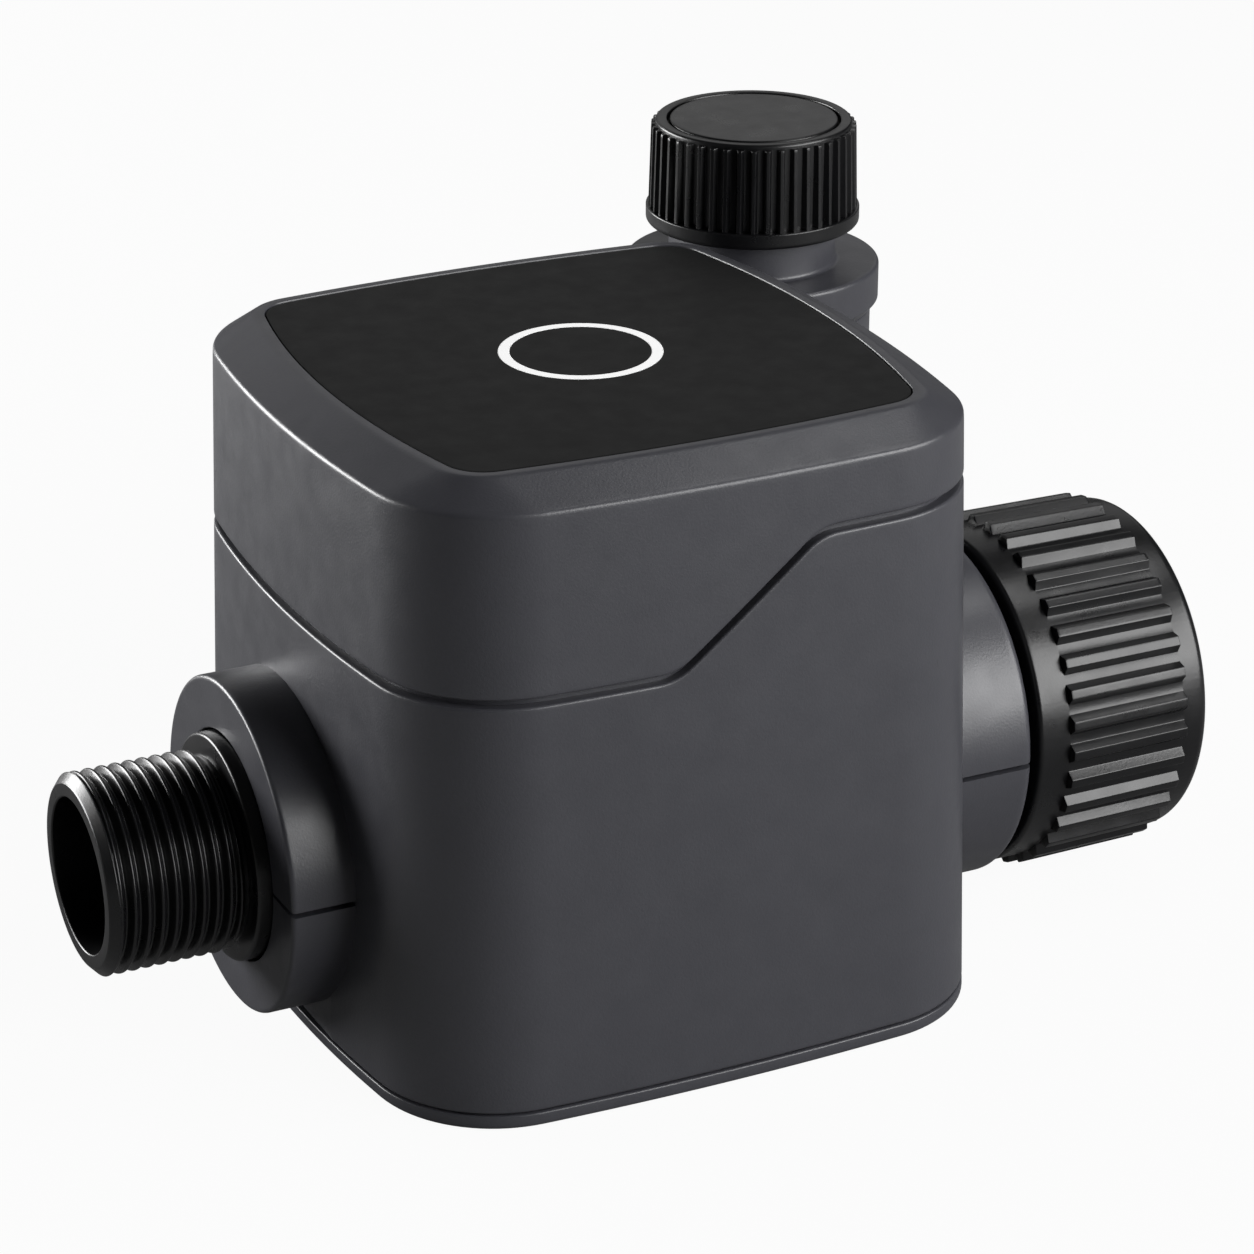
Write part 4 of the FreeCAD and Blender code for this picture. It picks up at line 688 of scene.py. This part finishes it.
def add_collars(shape, upper):
    """The upper or the lower halves of both collars, a little short of the split between them."""
    end = -(wall_face + outlet_collar_length)
    outlet = fillet([
        (-collar_root, outlet_hole_radius),
        (-collar_root, outlet_collar_radius),
        (end, outlet_collar_radius, collar_edge),
        (end, outlet_hole_radius, collar_hole_edge),
    ])
    end = wall_face + inlet_collar_length
    inside = inlet_collar_radius - inlet_collar_wall
    floor = wall_face + inlet_collar_floor
    inlet = fillet([
        (collar_root, inlet_hole_radius),
        (collar_root, inlet_collar_radius),
        (end, inlet_collar_radius, inlet_edge),
        (end, inlet_hole_radius, inlet_hole_edge),
        (end - inlet_collar_wall, inlet_hole_radius),
        (end - inlet_collar_wall, inside),
        (floor, inside),
        (floor, inlet_hole_radius),
    ], segments=6)
    start = 0 if upper else 180
    for profile, radius in [(outlet, outlet_collar_radius), (inlet, inlet_collar_radius)]:
        margin = math.degrees(collar_split / 2 / radius)
        sweep = (start + margin, start + 180 - margin)
        add_turned(shape, profile, "x", pipe_centre, pipe_segments, sweep)


def make_bottom_cover():
    """Base plate with recessed screw holes, a locating lip and the lower halves of the collars."""
    lip_outside = casing_wall + lip_room
    lip_inside = lip_outside + lip_width
    lip_top = base_thickness + lip_height
    shape = Shape()
    shape.add_rings(casing_rings([
        (underside_inset, 0),
        *reversed(edge_steps(base_rounding, 5)),
        *upper_edge(base_top_rounding, base_thickness),
        (lip_outside, base_thickness),
        (lip_outside, lip_top),
        (lip_inside, lip_top),
        (lip_inside, base_thickness),
    ]), capped=True)
    plate = shape.make("base_plate")
    for place in screw_places:
        cut_hole(plate, place)
    extra = Shape()
    add_collars(extra, upper=False)
    add_web(extra, -1, outlet_hole_radius - web_room)
    add_web(extra, 1, inlet_hole_radius - web_room)
    return join(plate, extra.make("base_collars"), "base_shell")


def cut_hole(plate, place):
    profile = [(-cut_overrun, screw_recess_radius), (screw_recess_height, screw_recess_radius)]
    cut_away(plate, turned_piece("hole_cutter", profile, "z", place, 40, capped=True))


def add_web(shape, side, radius):
    """Adds the piece of wall that closes a pipe slot from below, hollowed for the pipe."""
    inner = side * (casing_half_width - casing_wall + web_inside_room)
    outer = side * (wall_face - web_outside_room)
    add_arch(shape, radius, 180, 40, base_thickness / 2, (inner, outer))


# Panel and light ring

def make_top_panel():
    """Thin panel with a round groove for the light guide."""
    inset = rim_width + panel_room
    corner = recess_corner_radius - panel_room
    top = panel_high[2]
    floor = top - ring_depth
    edge = panel_edge
    groove = [
        (ring_outer + ring_margin, top),
        (ring_outer + ring_room, top),
        (ring_outer + ring_room, floor),
        (ring_inner - ring_room, floor),
        (ring_inner - ring_room, top),
        (ring_inner - ring_margin, top),
    ]
    shape = Shape()
    shape.add_rings([
        rim_points(inset, corner, panel_floor),
        rim_points(inset, corner, top - edge),
        rim_points(inset + edge * 0.3, corner - edge * 0.3, top - edge * 0.3),
        rim_points(inset + edge, corner - edge, top),
        rim_points(inset + 3 * edge, corner - 3 * edge, top),
        *[circle_points(radius, height) for radius, height in groove],
    ], capped=True)
    return shape.make("panel_plate")


def make_light_ring():
    top = ring_high[2]
    floor = top - ring_depth
    profile = fillet([
        (floor, ring_outer),
        (top, ring_outer, ring_edge),
        (top, ring_inner, ring_edge),
        (floor, ring_inner),
    ])
    return turned_piece("light_guide", profile, "z", (0, 0), 160)


# Threads and ribs

# Rounding radius and height of a pipe thread as shares of its pitch, and the turn of the
# rounding from the crest to the flank
THREAD_ROUNDING = 0.137
THREAD_HEIGHT = 0.640
FLANK_TURN = 62.5
THREAD_STEPS = 28


def wave(share):
    """Height of a 55-degree pipe thread along its pitch: 1 at the crest, 0 at the root, straight
    flanks between, with crest and root rounded."""
    away = np.abs((np.asarray(share) + 0.5) % 1 - 0.5)
    turns = np.radians(np.linspace(0, FLANK_TURN, 8))
    across = THREAD_ROUNDING * np.sin(turns)
    drop = THREAD_ROUNDING * (1 - np.cos(turns))
    places = np.concatenate([across, 0.5 - across[::-1]])
    drops = np.concatenate([drop, THREAD_HEIGHT - drop[::-1]])
    return 1 - np.interp(away, places, drops) / THREAD_HEIGHT


def smooth_step(value, low, high):
    """Smooth rise from 0 at the low value to 1 at the high one."""
    share = np.clip((value - low) / (high - low), 0, 1)
    return share * share * (3 - 2 * share)


def spigot_thread(start, end, turns):
    """(along, radii) pairs of the outer thread: from the shoulder along the helix to a ring-shaped
    first crest, cut by the mouth's chamfer."""
    first_crest = end + mouth_length
    slope = (thread_radius - mouth_face_radius) / mouth_length
    line = []
    for along in np.arange(start - thread_hollow / 4, end + mouth_edge, -thread_pitch / THREAD_STEPS):
        share = (along - start) / thread_pitch + turns / (2 * math.pi)
        height = wave(share) * smooth_step(start - along, thread_run_out, thread_rise_end)
        if along < first_crest + thread_pitch / 2:
            height = np.maximum(height, wave(max(0.0, along - first_crest) / thread_pitch))
        chamfer = mouth_face_radius + slope * (along - end)
        line.append((along, np.minimum(thread_root + thread_depth * height, chamfer)))
    return line


def flanged_end(seat, outward):
    """(along, radius) points of a pipe's end at its seat in the valve body: nose and flange."""
    nose = seat - outward * socket_depth
    flange = seat + outward * flange_thickness
    return [
        (nose, pipe_bore_radius),
        (nose, nose_radius),
        (seat, nose_radius),
        (seat, flange_radius),
        (flange, flange_radius),
    ]


def make_spigot():
    """Outlet pipe with a helical thread, a shoulder and a chamfered mouth."""
    end = spigot_low[0]
    start = end + thread_turns * thread_pitch + thread_relief
    seat = valve_low[0]
    turns = np.linspace(0, 2 * math.pi, 160, endpoint=False)
    mouth = fillet([
        (end + mouth_edge, mouth_face_radius),
        (end, mouth_face_radius - mouth_edge, mouth_rounding),
        (end, spigot_bore_radius + spigot_bore_edge, mouth_rounding),
        (end + spigot_bore_edge, spigot_bore_radius, mouth_rounding),
        (end + spigot_bore_start, spigot_bore_radius),
    ], segments=3, support=0)
    bore_end = end + spigot_bore_depth
    profile = [
        *flanged_end(seat, -1),
        (seat - flange_thickness, shoulder_radius),
        *[(start + inset, shoulder_radius - rise) for rise, inset in edge_steps(shoulder_edge)],
        (start, thread_root + thread_hollow),
        (start - thread_hollow / 10, thread_root + thread_hollow / 4),
        *spigot_thread(start, end, turns),
        *mouth,
        (bore_end, spigot_bore_radius),
        (bore_end + spigot_bore_radius - pipe_bore_radius, pipe_bore_radius),
    ]
    return turned_piece("threaded_spigot", profile, "x", pipe_centre, turns, sharp=30)


def rib_turns(count, crest, foot):
    """Angles round the circle, close together at the edges of each rib, and the ribs' height
    there: 1 on a crest, 0 on the floor between ribs, with straight flanks and eased edges."""
    ease = 0.018
    half = [
        (0.5 * crest, 1.0),
        (crest - ease, 1.0),
        (crest - 0.3 * ease, 0.985),
        (crest + 0.5 * ease, 0.93),
        (foot - 0.5 * ease, 0.06),
        (foot + 0.4 * ease, 0.012),
        (foot + ease, 0.0),
    ]
    before = [(-share, level) for share, level in reversed(half)]
    pattern = [*before, (0.0, 1.0), *half, (0.5, 0.0)]
    turns = [2 * math.pi * (rib + share) / count for rib in range(count) for share, level in pattern]
    levels = [level for rib in range(count) for share, level in pattern]
    return np.array(turns), np.array(levels)


# Rounding at the ribs' ends, and the width of the step down to the plain band beside them
RIB_END_EDGE = 0.12
FACE_STEP = 0.01


def rib_places(start, end):
    """Places along ribs, close together at their rounded ends."""
    near = [0.0, 0.1 * RIB_END_EDGE, 0.4 * RIB_END_EDGE, RIB_END_EDGE, 4 * RIB_END_EDGE]
    places = [start + step for step in near]
    places.append((start + end) / 2)
    places += [end - step for step in reversed(near)]
    return places


def ribbed(floor, crest, ribs, inside):
    """Radii from the floor to the crest, a little lower close to the end face of the ribs."""
    near = 1 - min(inside, RIB_END_EDGE) / RIB_END_EDGE
    top = crest - RIB_END_EDGE * (1 - math.sqrt(1 - near ** 2))
    return floor + (top - floor) * ribs


def nut_surface(ribs, rib_start, rib_end):
    """(along, radii) pairs over the nut's ribs, whose crests and floor taper towards the rim."""
    line = []
    for along in rib_places(rib_start, rib_end):
        progress = (along - rib_start) / (rib_end - rib_start)
        crest = nut_radius - nut_rib_taper * progress
        floor = mix(nut_band_radius, nut_rim_radius, progress)
        inside = max(0.0, min(along - rib_start, rib_end - along))
        line.append((along, ribbed(floor, crest, ribs, inside)))
    return line


def nut_thread(end, turns):
    """(along, radii) pairs of the helical thread, from the mouth inwards."""
    thread_end = end - nut_mouth
    thread_start = thread_end - nut_turns * nut_pitch
    line = []
    first = end - nut_mouth_step
    last = thread_start - nut_thread_fade / 2
    for along in np.arange(first, last, -nut_pitch / THREAD_STEPS):
        share = -(along - thread_start) / nut_pitch - turns / (2 * math.pi)
        depth = (nut_thread_major - nut_thread_minor) * (1 - wave(share))
        depth *= smooth_step(thread_end + nut_thread_lead - along, 0, nut_thread_ease)
        depth *= smooth_step(along - thread_start, -nut_thread_fade / 2, nut_thread_fade)
        flare = nut_mouth * smooth_step(along, thread_end, end)
        line.append((along, nut_thread_minor + depth + flare))
    line.append((thread_start - nut_thread_fade, nut_relief_radius))
    return line


def make_nut():
    """Swivel nut: plain band, raised ribs with square ends, plain rim, helical thread inside."""
    start = nut_low[0]
    end = nut_high[0]
    rib_start = start + nut_band
    rib_end = rib_start + nut_ribs
    relief_start = start + nut_back_wall
    turns, ribs = rib_turns(nut_rib_count, nut_rib_crest, nut_rib_foot)
    band = fillet([
        (start, nut_hole_radius, 0.3),
        (start, nut_band_radius, 0.6),
        (rib_start - nut_band_support, nut_band_radius),
    ], segments=5)
    rim = fillet([
        (rib_end + nut_rim_support, nut_rim_radius),
        (end, nut_rim_radius, nut_rim_rounding),
        (end, nut_thread_minor + nut_mouth + nut_mouth_step, 0.4),
    ], segments=8)
    profile = [
        *band,
        (rib_start - FACE_STEP, nut_band_radius),
        *nut_surface(ribs, rib_start, rib_end),
        (rib_end + FACE_STEP, nut_rim_radius),
        *rim,
        *nut_thread(end, turns),
        (relief_start, nut_relief_radius),
        (relief_start, nut_hole_radius),
    ]
    return turned_piece("ribbed_nut", profile, "x", pipe_centre, turns, sharp=30)


def knob_surface(ribs, rib_low, rib_high):
    """(along, radii) pairs over the knob's ribs, which lean in a little towards the top."""
    line = []
    for along in rib_places(rib_low, rib_high):
        crest = knob_rib_radius - knob_rib_draft * (along - rib_low) / (rib_high - rib_low)
        line.append((along, ribbed(knob_top_radius, crest, ribs, max(0.0, rib_high - along))))
    return line


def make_knob():
    """Hollow knob: plain band, raised ribs with square upper ends, a low shoulder with a recess."""
    low = knob_low[2]
    high = knob_high[2]
    rib_low = low + knob_band
    rib_high = high - knob_shoulder
    turns, ribs = rib_turns(knob_rib_count, knob_rib_crest, knob_rib_foot)
    groove = disc_high[0] - tower_x + disc_groove
    band_top = rib_low - FACE_STEP
    disc_floor = high - knob_disc_depth
    roof_floor = high - knob_roof
    band = fillet([
        (low, knob_inside_radius),
        (low, knob_radius, 0.5),
        (band_top, knob_radius, 0.3),
        (band_top, knob_rib_foot_radius),
    ])
    profile = [
        *band,
        *knob_surface(ribs, rib_low, rib_high),
        (rib_high + FACE_STEP, knob_top_radius),
        *[(height, knob_top_radius - inset) for inset, height in upper_edge(knob_top_edge, high)],
        (high, groove + groove_edge),
        (high - groove_bevel, groove + groove_bevel),
        (high - groove_edge, groove),
        (disc_floor, groove),
        (disc_floor, knob_stem_hole),
        (roof_floor, knob_stem_hole),
        (roof_floor, knob_inside_radius),
    ]
    return turned_piece("ribbed_knob", profile, "z", tower_centre, turns, sharp=30)


def make_knob_disc():
    """Disc in the knob's top, dished a little."""
    low = disc_low[2]
    high = disc_high[2]
    radius = disc_high[0] - tower_x
    profile = [
        (low, radius),
        *[(height, radius - inset) for inset, height in upper_edge(disc_edge, high)],
        (high, radius - disc_rim),
        (high - 0.75 * disc_dish, radius / 2),
        (high - disc_dish, disc_rim),
    ]
    return turned_piece("knob_insert", profile, "z", tower_centre, capped=True)


def make_bonnet():
    """Flanged cap with a neck that grows out of it in a small hollow curve."""
    top = bonnet_high[2]
    foot = bonnet_low[2]
    roof = bonnet_top - bonnet_roof
    profile = fillet([
        (top, stem_hole_radius),
        (top, neck_radius, neck_edge),
        (bonnet_top, neck_radius, neck_fillet),
        (bonnet_top, bonnet_radius, bonnet_edge),
        (tower_top + bonnet_bevel, bonnet_radius, 0.3),
        (tower_top, bonnet_radius - bonnet_bevel_width, 0.3),
        (tower_top, bonnet_skirt_radius),
        (roof, bonnet_skirt_radius),
        (roof, guide_radius),
        (foot, guide_radius),
        (foot, stem_hole_radius),
    ], segments=5)
    return turned_piece("bonnet_cap", profile, "z", tower_centre)


def make_tee():
    """Inlet pipe, side branch, tower barrel and drain spout as one moulding."""
    branch_x = wall_face + inlet_collar_length - branch_setback
    shape = Shape()
    add_turned(shape, tee_pipe_profile(), "x", pipe_centre, pipe_segments)
    add_turned(shape, barrel_profile(), "z", tower_centre, pipe_segments)
    add_turned(shape, branch_profile(), "y", (branch_x, axis_height), 64)
    add_turned(shape, spout_profile(), "y", (tower_x, spout_height), 48)
    return shape.make("inlet_moulding")


def tee_pipe_profile():
    """Pipe from the valve's seat to the nut, with the groove for the nut's clip."""
    seat = valve_high[0]
    end = tee_high[0]
    groove_start = nut_low[0] + nut_back_wall + clip_room
    groove_end = groove_start + clip_groove_width
    return fillet([
        *flanged_end(seat, 1),
        (seat + flange_thickness, tee_pipe_radius),
        (groove_start, tee_pipe_radius),
        (groove_start, clip_groove_radius),
        (groove_end, clip_groove_radius),
        (groove_end, tee_pipe_radius),
        (end, tee_pipe_radius, 0.4),
        (end, tee_bore_radius, 0.2),
        (seat + tee_bore_high, tee_bore_radius),
        (seat + tee_bore_low, pipe_bore_radius),
    ])


def barrel_profile():
    """Tower barrel: a shoulder below the bonnet, and the drain's chamber and seat inside."""
    neck_top = tower_top + barrel_neck_height
    return fillet([
        (barrel_low, drain_hole_radius),
        (barrel_low, barrel_radius, 2.6),
        (barrel_shoulder_low, barrel_radius, 1.6),
        (barrel_shoulder_high, barrel_top_radius, 1.6),
        (tower_top, barrel_top_radius, 0.3),
        (tower_top, barrel_neck_radius),
        (neck_top, barrel_neck_radius, 0.3),
        (neck_top, barrel_bore_radius),
        (barrel_bore_low, barrel_bore_radius),
        (chamber_high, chamber_radius),
        (chamber_low, chamber_radius),
        (chamber_low, seat_hole_radius),
        (seat_hole_low, seat_hole_radius),
        (seat_hole_low, drain_hole_radius),
    ], segments=6)


def branch_profile():
    """Branch between the collar and the barrel, thicker beyond the collar."""
    step = inlet_collar_radius + branch_step
    far = tower_y - branch_reach
    return fillet([
        (branch_start, branch_bore_radius),
        (branch_start, branch_root_radius),
        (step, branch_root_radius, 0.3),
        (step, branch_radius, 0.6),
        (far, branch_radius),
        (far, branch_bore_radius),
    ])


def spout_profile():
    """Short drain spout on the back of the barrel."""
    root = tower_y + spout_root
    end = tee_high[1]
    return fillet([
        (root, spout_bore_radius),
        (root, spout_radius),
        (end, spout_radius, 0.4),
        (end, spout_bore_radius, 0.3),
    ])


# Materials

WHITE = (1, 1, 1, 1)

# In millimetres: the size of a plastic's clouds and of its uneven gloss, and the size and height
# of a metal's marks, which the stretch makes finer in z
CLOUD_SIZE = 9.0
GLOSS_SIZE = 4.0
MARK_SIZE = 1.2
MARK_HEIGHT = 0.02
MARK_STRETCH = 12.0


def new_material(name):
    material = bpy.data.materials.new(name)
    material.use_nodes = True
    return material, material.node_tree


def set_inputs(tree, node, inputs):
    """Links the inputs that are given a socket, and sets the others."""
    for name, value in inputs.items():
        if isinstance(value, bpy.types.NodeSocket):
            tree.links.new(value, node.inputs[name])
        else:
            node.inputs[name].default_value = value


def add_node(tree, kind, inputs, **settings):
    """New shader node with its inputs linked or set, and its settings made first."""
    node = tree.nodes.new("ShaderNode" + kind)
    for name, value in settings.items():
        setattr(node, name, value)
    set_inputs(tree, node, inputs)
    return node


def place_socket(tree):
    """Each point's own place on the object, in metres."""
    return add_node(tree, "TexCoord", {}).outputs["Object"]


def noise(tree, place, size, detail=3.0, roughness=0.55):
    """Noise with features of about the given size in millimetres."""
    scale = 1.0 / (size * MILLIMETRE)
    inputs = {"Scale": scale, "Detail": detail, "Roughness": roughness, "Vector": place}
    return add_node(tree, "TexNoise", inputs).outputs["Fac"]


def map_range(tree, value, low, high, from_low=0.3, from_high=0.7):
    inputs = {"Value": value, "From Min": from_low, "From Max": from_high, "To Min": low, "To Max": high}
    return add_node(tree, "MapRange", inputs).outputs["Result"]


def blend_colours(tree, share, first, second):
    inputs = {"A": (*first, 1), "B": (*second, 1), "Factor": share}
    return add_node(tree, "Mix", inputs, data_type="RGBA").outputs["Result"]


def bump(tree, height, distance):
    """Normal of a bump whose full height is the distance in millimetres."""
    inputs = {"Distance": distance * MILLIMETRE, "Strength": 1.0, "Height": height}
    return add_node(tree, "Bump", inputs).outputs["Normal"]


def moulded(name, dark, light, roughness, grain, grain_height, specular=0.5, glow=0.0):
    """Moulded plastic: slight cloudiness in its colour, a fine eroded grain and uneven gloss. The
    grain's size and height are in millimetres. A glow above 0 is a painted glow: white emission
    that brightens the surface though no lamp lights it."""
    material, tree = new_material(name)
    place = place_socket(tree)
    cloud = map_range(tree, noise(tree, place, CLOUD_SIZE), 0.25, 0.75)
    speck = map_range(tree, noise(tree, place, grain * 1.4, 2.0), 0.0, 1.0)
    mixed = add_node(tree, "Math", {0: speck, 1: 0.6, 2: cloud}, operation="MULTIPLY_ADD")
    share = map_range(tree, mixed.outputs[0], 0.0, 1.0, 0.2, 1.3)
    gloss = noise(tree, place, GLOSS_SIZE, 4.0)
    texture = noise(tree, place, grain, 2.0, 0.6)
    set_inputs(tree, tree.nodes["Principled BSDF"], {
        "Base Color": blend_colours(tree, share, dark, light),
        "Roughness": map_range(tree, gloss, roughness - 0.04, roughness + 0.04),
        "Normal": bump(tree, texture, grain_height),
        "Specular IOR Level": specular,
        # White emission at the glow's strength: a painted glow, not light from a lamp.
        "Emission Color": WHITE,
        "Emission Strength": glow,
    })
    return material


def metal(name, dark, light, roughness):
    """Machined or drawn metal with fine marks and slight variation."""
    material, tree = new_material(name)
    inputs = {"Scale": (1.0, 1.0, MARK_STRETCH), "Vector": place_socket(tree)}
    stretched = add_node(tree, "Mapping", inputs).outputs["Vector"]
    marks = noise(tree, stretched, MARK_SIZE, 4.0)
    set_inputs(tree, tree.nodes["Principled BSDF"], {
        "Base Color": blend_colours(tree, map_range(tree, marks, 0.0, 1.0), dark, light),
        "Roughness": map_range(tree, marks, roughness - 0.06, roughness + 0.08),
        "Normal": bump(tree, marks, MARK_HEIGHT),
        "Metallic": 1.0,
    })
    return material


def grey(level, warmth=0.0):
    return (level * (1 + warmth), level, level * (1 - warmth))


def bluish(level):
    return (level * 0.97, level * 0.98, level * 1.14)


def make_materials():
    """One material for each slot of the record."""
    return {
        "casing_plastic": moulded("anthracite", bluish(0.043), bluish(0.049), 0.36, 0.32, 0.02),
        "black_plastic": moulded(
            "black_nylon", bluish(0.0028), bluish(0.0044), 0.3, 0.4, 0.012, specular=0.45
        ),
        "panel_black": moulded(
            "printed_panel", grey(0.006), grey(0.0075), 0.5, 0.25, 0.006, specular=0.12
        ),
        # The light guide's glow is painted light: white emission that makes the ring look brighter than
        # the lamps make it, though it is no lamp.
        "ring_white": moulded("light_guide_white_painted_glow", grey(0.8), grey(0.86), 0.35, 1.2, 0.01, glow=0.35),
        "rubber": moulded("seal_rubber", grey(0.012), grey(0.022), 0.62, 0.5, 0.03),
        "natural_plastic": moulded("glass_filled_nylon", grey(0.1), grey(0.15), 0.5, 0.5, 0.03),
        "seat_white": moulded("seat_polymer", grey(0.78), grey(0.84), 0.3, 2.0, 0.01),
        "gear_white": moulded("gear_acetal", grey(0.7, 0.02), grey(0.78, 0.02), 0.35, 1.0, 0.015),
        "rotor_blue": moulded("rotor_moulding", (0.06, 0.16, 0.42), (0.09, 0.22, 0.52), 0.35, 1.0, 0.02),
        "board_green": moulded(
            "circuit_laminate", (0.012, 0.11, 0.045), (0.03, 0.2, 0.09), 0.35, 0.7, 0.02
        ),
        "cap_black": moulded("capacitor_sleeve", grey(0.02), grey(0.035), 0.25, 1.0, 0.01),
        "cell_wrap": moulded("cell_sleeve", grey(0.07), grey(0.1), 0.3, 1.0, 0.01),
        "steel": metal("zinc_steel", grey(0.42), grey(0.55), 0.35),
        "brass": metal("turned_brass", (0.55, 0.38, 0.14), (0.72, 0.53, 0.24), 0.3),
        "chrome_ball": metal("polished_chrome", grey(0.6), grey(0.66), 0.12),
        "mesh_steel": metal("stainless", grey(0.4), grey(0.5), 0.35),
        "shield_tin": metal("tinned_shield", grey(0.5), grey(0.6), 0.4),
        "spring_nickel": metal("nickel_contact", grey(0.5, 0.03), grey(0.6, 0.03), 0.3),
    }


def paint(obj, material):
    obj.data.materials.clear()
    obj.data.materials.append(material)


def dress_nodes(materials):
    """Gives every CAD node the material of its slot."""
    slots = {part["node"]: part["material_slot"] for part in frame["record"]["subparts"]}
    for name, node in frame["nodes"].items():
        paint(node, materials[slots[name]])


def dress(piece, body, slot_name, materials, *nodes):
    """Puts a finished piece in place of the CAD nodes that it shows in more detail."""
    paint(piece, materials[slot_name])
    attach(piece, body)
    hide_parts(*nodes)


def dress_pieces(materials):
    pieces = [
        (make_upper_cover, "casing", "casing_plastic", "upper_cover"),
        (make_lower_housing, "casing", "casing_plastic", "lower_housing"),
        (make_bottom_cover, "casing", "casing_plastic", "bottom_cover"),
        (make_top_panel, "casing", "panel_black", "top_panel"),
        (make_light_ring, "casing", "ring_white", "light_ring"),
        (make_spigot, "casing", "black_plastic", "outlet_spigot"),
        (make_nut, "nut", "black_plastic", "union_nut"),
        (make_knob, "knob", "black_plastic", "drain_knob"),
        (make_knob_disc, "knob", "black_plastic", "knob_disc"),
        (make_bonnet, "casing", "casing_plastic", "tower_bonnet"),
        (make_tee, "casing", "casing_plastic", "inlet_tee"),
    ]
    for make, body, slot_name, node in pieces:
        dress(make(), body, slot_name, materials, node)


# Camera, floor and light

CAMERA_YAW = 0.4546
CAMERA_PITCH = 0.4141
CAMERA_ROLL = 0.0032
CAMERA_OFFSET = (-0.00617, -0.04215)
CAMERA_DISTANCE = 0.55088
CAMERA_LENS = 116.17


def make_camera():
    """Camera at the photograph's viewing angle, from its yaw, pitch, roll and offset."""
    forward = Vector((
        math.sin(CAMERA_YAW) * math.cos(CAMERA_PITCH),
        math.cos(CAMERA_YAW) * math.cos(CAMERA_PITCH),
        -math.sin(CAMERA_PITCH),
    ))
    right = Vector((math.cos(CAMERA_YAW), -math.sin(CAMERA_YAW), 0))
    up = right.cross(forward)
    turned_right = math.cos(CAMERA_ROLL) * right + math.sin(CAMERA_ROLL) * up
    turned_up = -math.sin(CAMERA_ROLL) * right + math.cos(CAMERA_ROLL) * up
    place = -(CAMERA_OFFSET[0] * turned_right + CAMERA_OFFSET[1] * turned_up + CAMERA_DISTANCE * forward)
    data = bpy.data.cameras.new("camera")
    data.lens = CAMERA_LENS
    data.sensor_width = 36
    data.clip_start = 0.01
    camera = link_object("camera", data)
    columns = Matrix((turned_right, turned_up, -forward)).transposed().to_4x4()
    camera.matrix_world = Matrix.Translation(place) @ columns
    bpy.context.scene.camera = camera


# The floor's half size in metres, its own grey, the share and level of the white that the camera
# sees on it, the world's light on the object, and the point that the lamps aim at
FLOOR_HALF_SIZE = 6.0
FLOOR_GREY = 0.3
FLOOR_GLOW = 0.9
FLOOR_GLOW_LEVEL = 1.05
WORLD_LEVEL = 0.04
STUDIO_MIDDLE = Vector((0.0, 0.0, 0.045))


def make_floor():
    """Pale floor: it takes the object's shadow, and what the camera sees of it is near white."""
    size = FLOOR_HALF_SIZE
    mesh = bpy.data.meshes.new("floor")
    square = [(-size, -size, 0), (size, -size, 0), (size, size, 0), (-size, size, 0)]
    mesh.from_pydata(square, [], [(0, 1, 2, 3)])
    floor = link_object("floor", mesh)
    floor.location.z = cad_low.z
    material, tree = new_material("pale_floor")
    tree.nodes.clear()
    diffuse = add_node(tree, "BsdfDiffuse", {"Color": (FLOOR_GREY, FLOOR_GREY, FLOOR_GREY, 1)})
    glow = add_node(tree, "Emission", {"Color": WHITE, "Strength": FLOOR_GLOW_LEVEL})
    share = add_node(tree, "Math", {0: camera_ray(tree), 1: FLOOR_GLOW}, operation="MULTIPLY")
    mix_shaders(tree, share.outputs[0], diffuse, glow, "OutputMaterial")
    mesh.materials.append(material)


def make_world():
    """White behind the object, and a softer grey for the light that it gives."""
    world = bpy.data.worlds.new("studio")
    world.use_nodes = True
    tree = world.node_tree
    tree.nodes.clear()
    around = add_node(tree, "Background", {"Color": WHITE, "Strength": WORLD_LEVEL})
    seen = add_node(tree, "Background", {"Color": WHITE, "Strength": 1.0})
    mix_shaders(tree, camera_ray(tree), around, seen, "OutputWorld")
    bpy.context.scene.world = world


def camera_ray(tree):
    """1 for what the camera sees itself, 0 for other rays."""
    return add_node(tree, "LightPath", {}).outputs["Is Camera Ray"]


def mix_shaders(tree, share, first, second, output):
    mixed = add_node(tree, "MixShader", {"Fac": share, 1: first.outputs[0], 2: second.outputs[0]})
    add_node(tree, output, {"Surface": mixed.outputs[0]})


def add_softbox(name, azimuth, elevation, distance, width, height, level):
    """Rectangular soft light aimed at the object, placed by angles in degrees and metres. Its level
    is the brightness of its face."""
    data = bpy.data.lights.new(name, "AREA")
    data.shape = "RECTANGLE"
    data.size = width
    data.size_y = height
    data.energy = level * math.pi * width * height
    light = link_object(name, data)
    turn = math.radians(azimuth)
    tilt = math.radians(elevation)
    outward = Vector((math.cos(turn) * math.cos(tilt), math.sin(turn) * math.cos(tilt), math.sin(tilt)))
    light.rotation_euler = (-outward).to_track_quat("-Z", "Y").to_euler()
    light.location = STUDIO_MIDDLE + outward * distance


def make_lights():
    """Large soft lights: right of the front, left of the back, overhead, and a dim one behind."""
    add_softbox("front_right", -51, 21, 0.8, 0.7, 0.5, 8.3)
    add_softbox("back_left", 130, 7, 0.9, 0.68, 0.36, 17.0)
    add_softbox("overhead_right", -8, 60, 0.9, 0.3, 0.28, 3.8)
    add_softbox("behind", 68, 28, 1.2, 1.3, 0.7, 0.42)


def main():
    materials = make_materials()
    dress_nodes(materials)
    dress_pieces(materials)
    make_floor()
    make_world()
    make_lights()
    make_camera()
    bpy.context.scene.view_settings.view_transform = "Standard"


main()
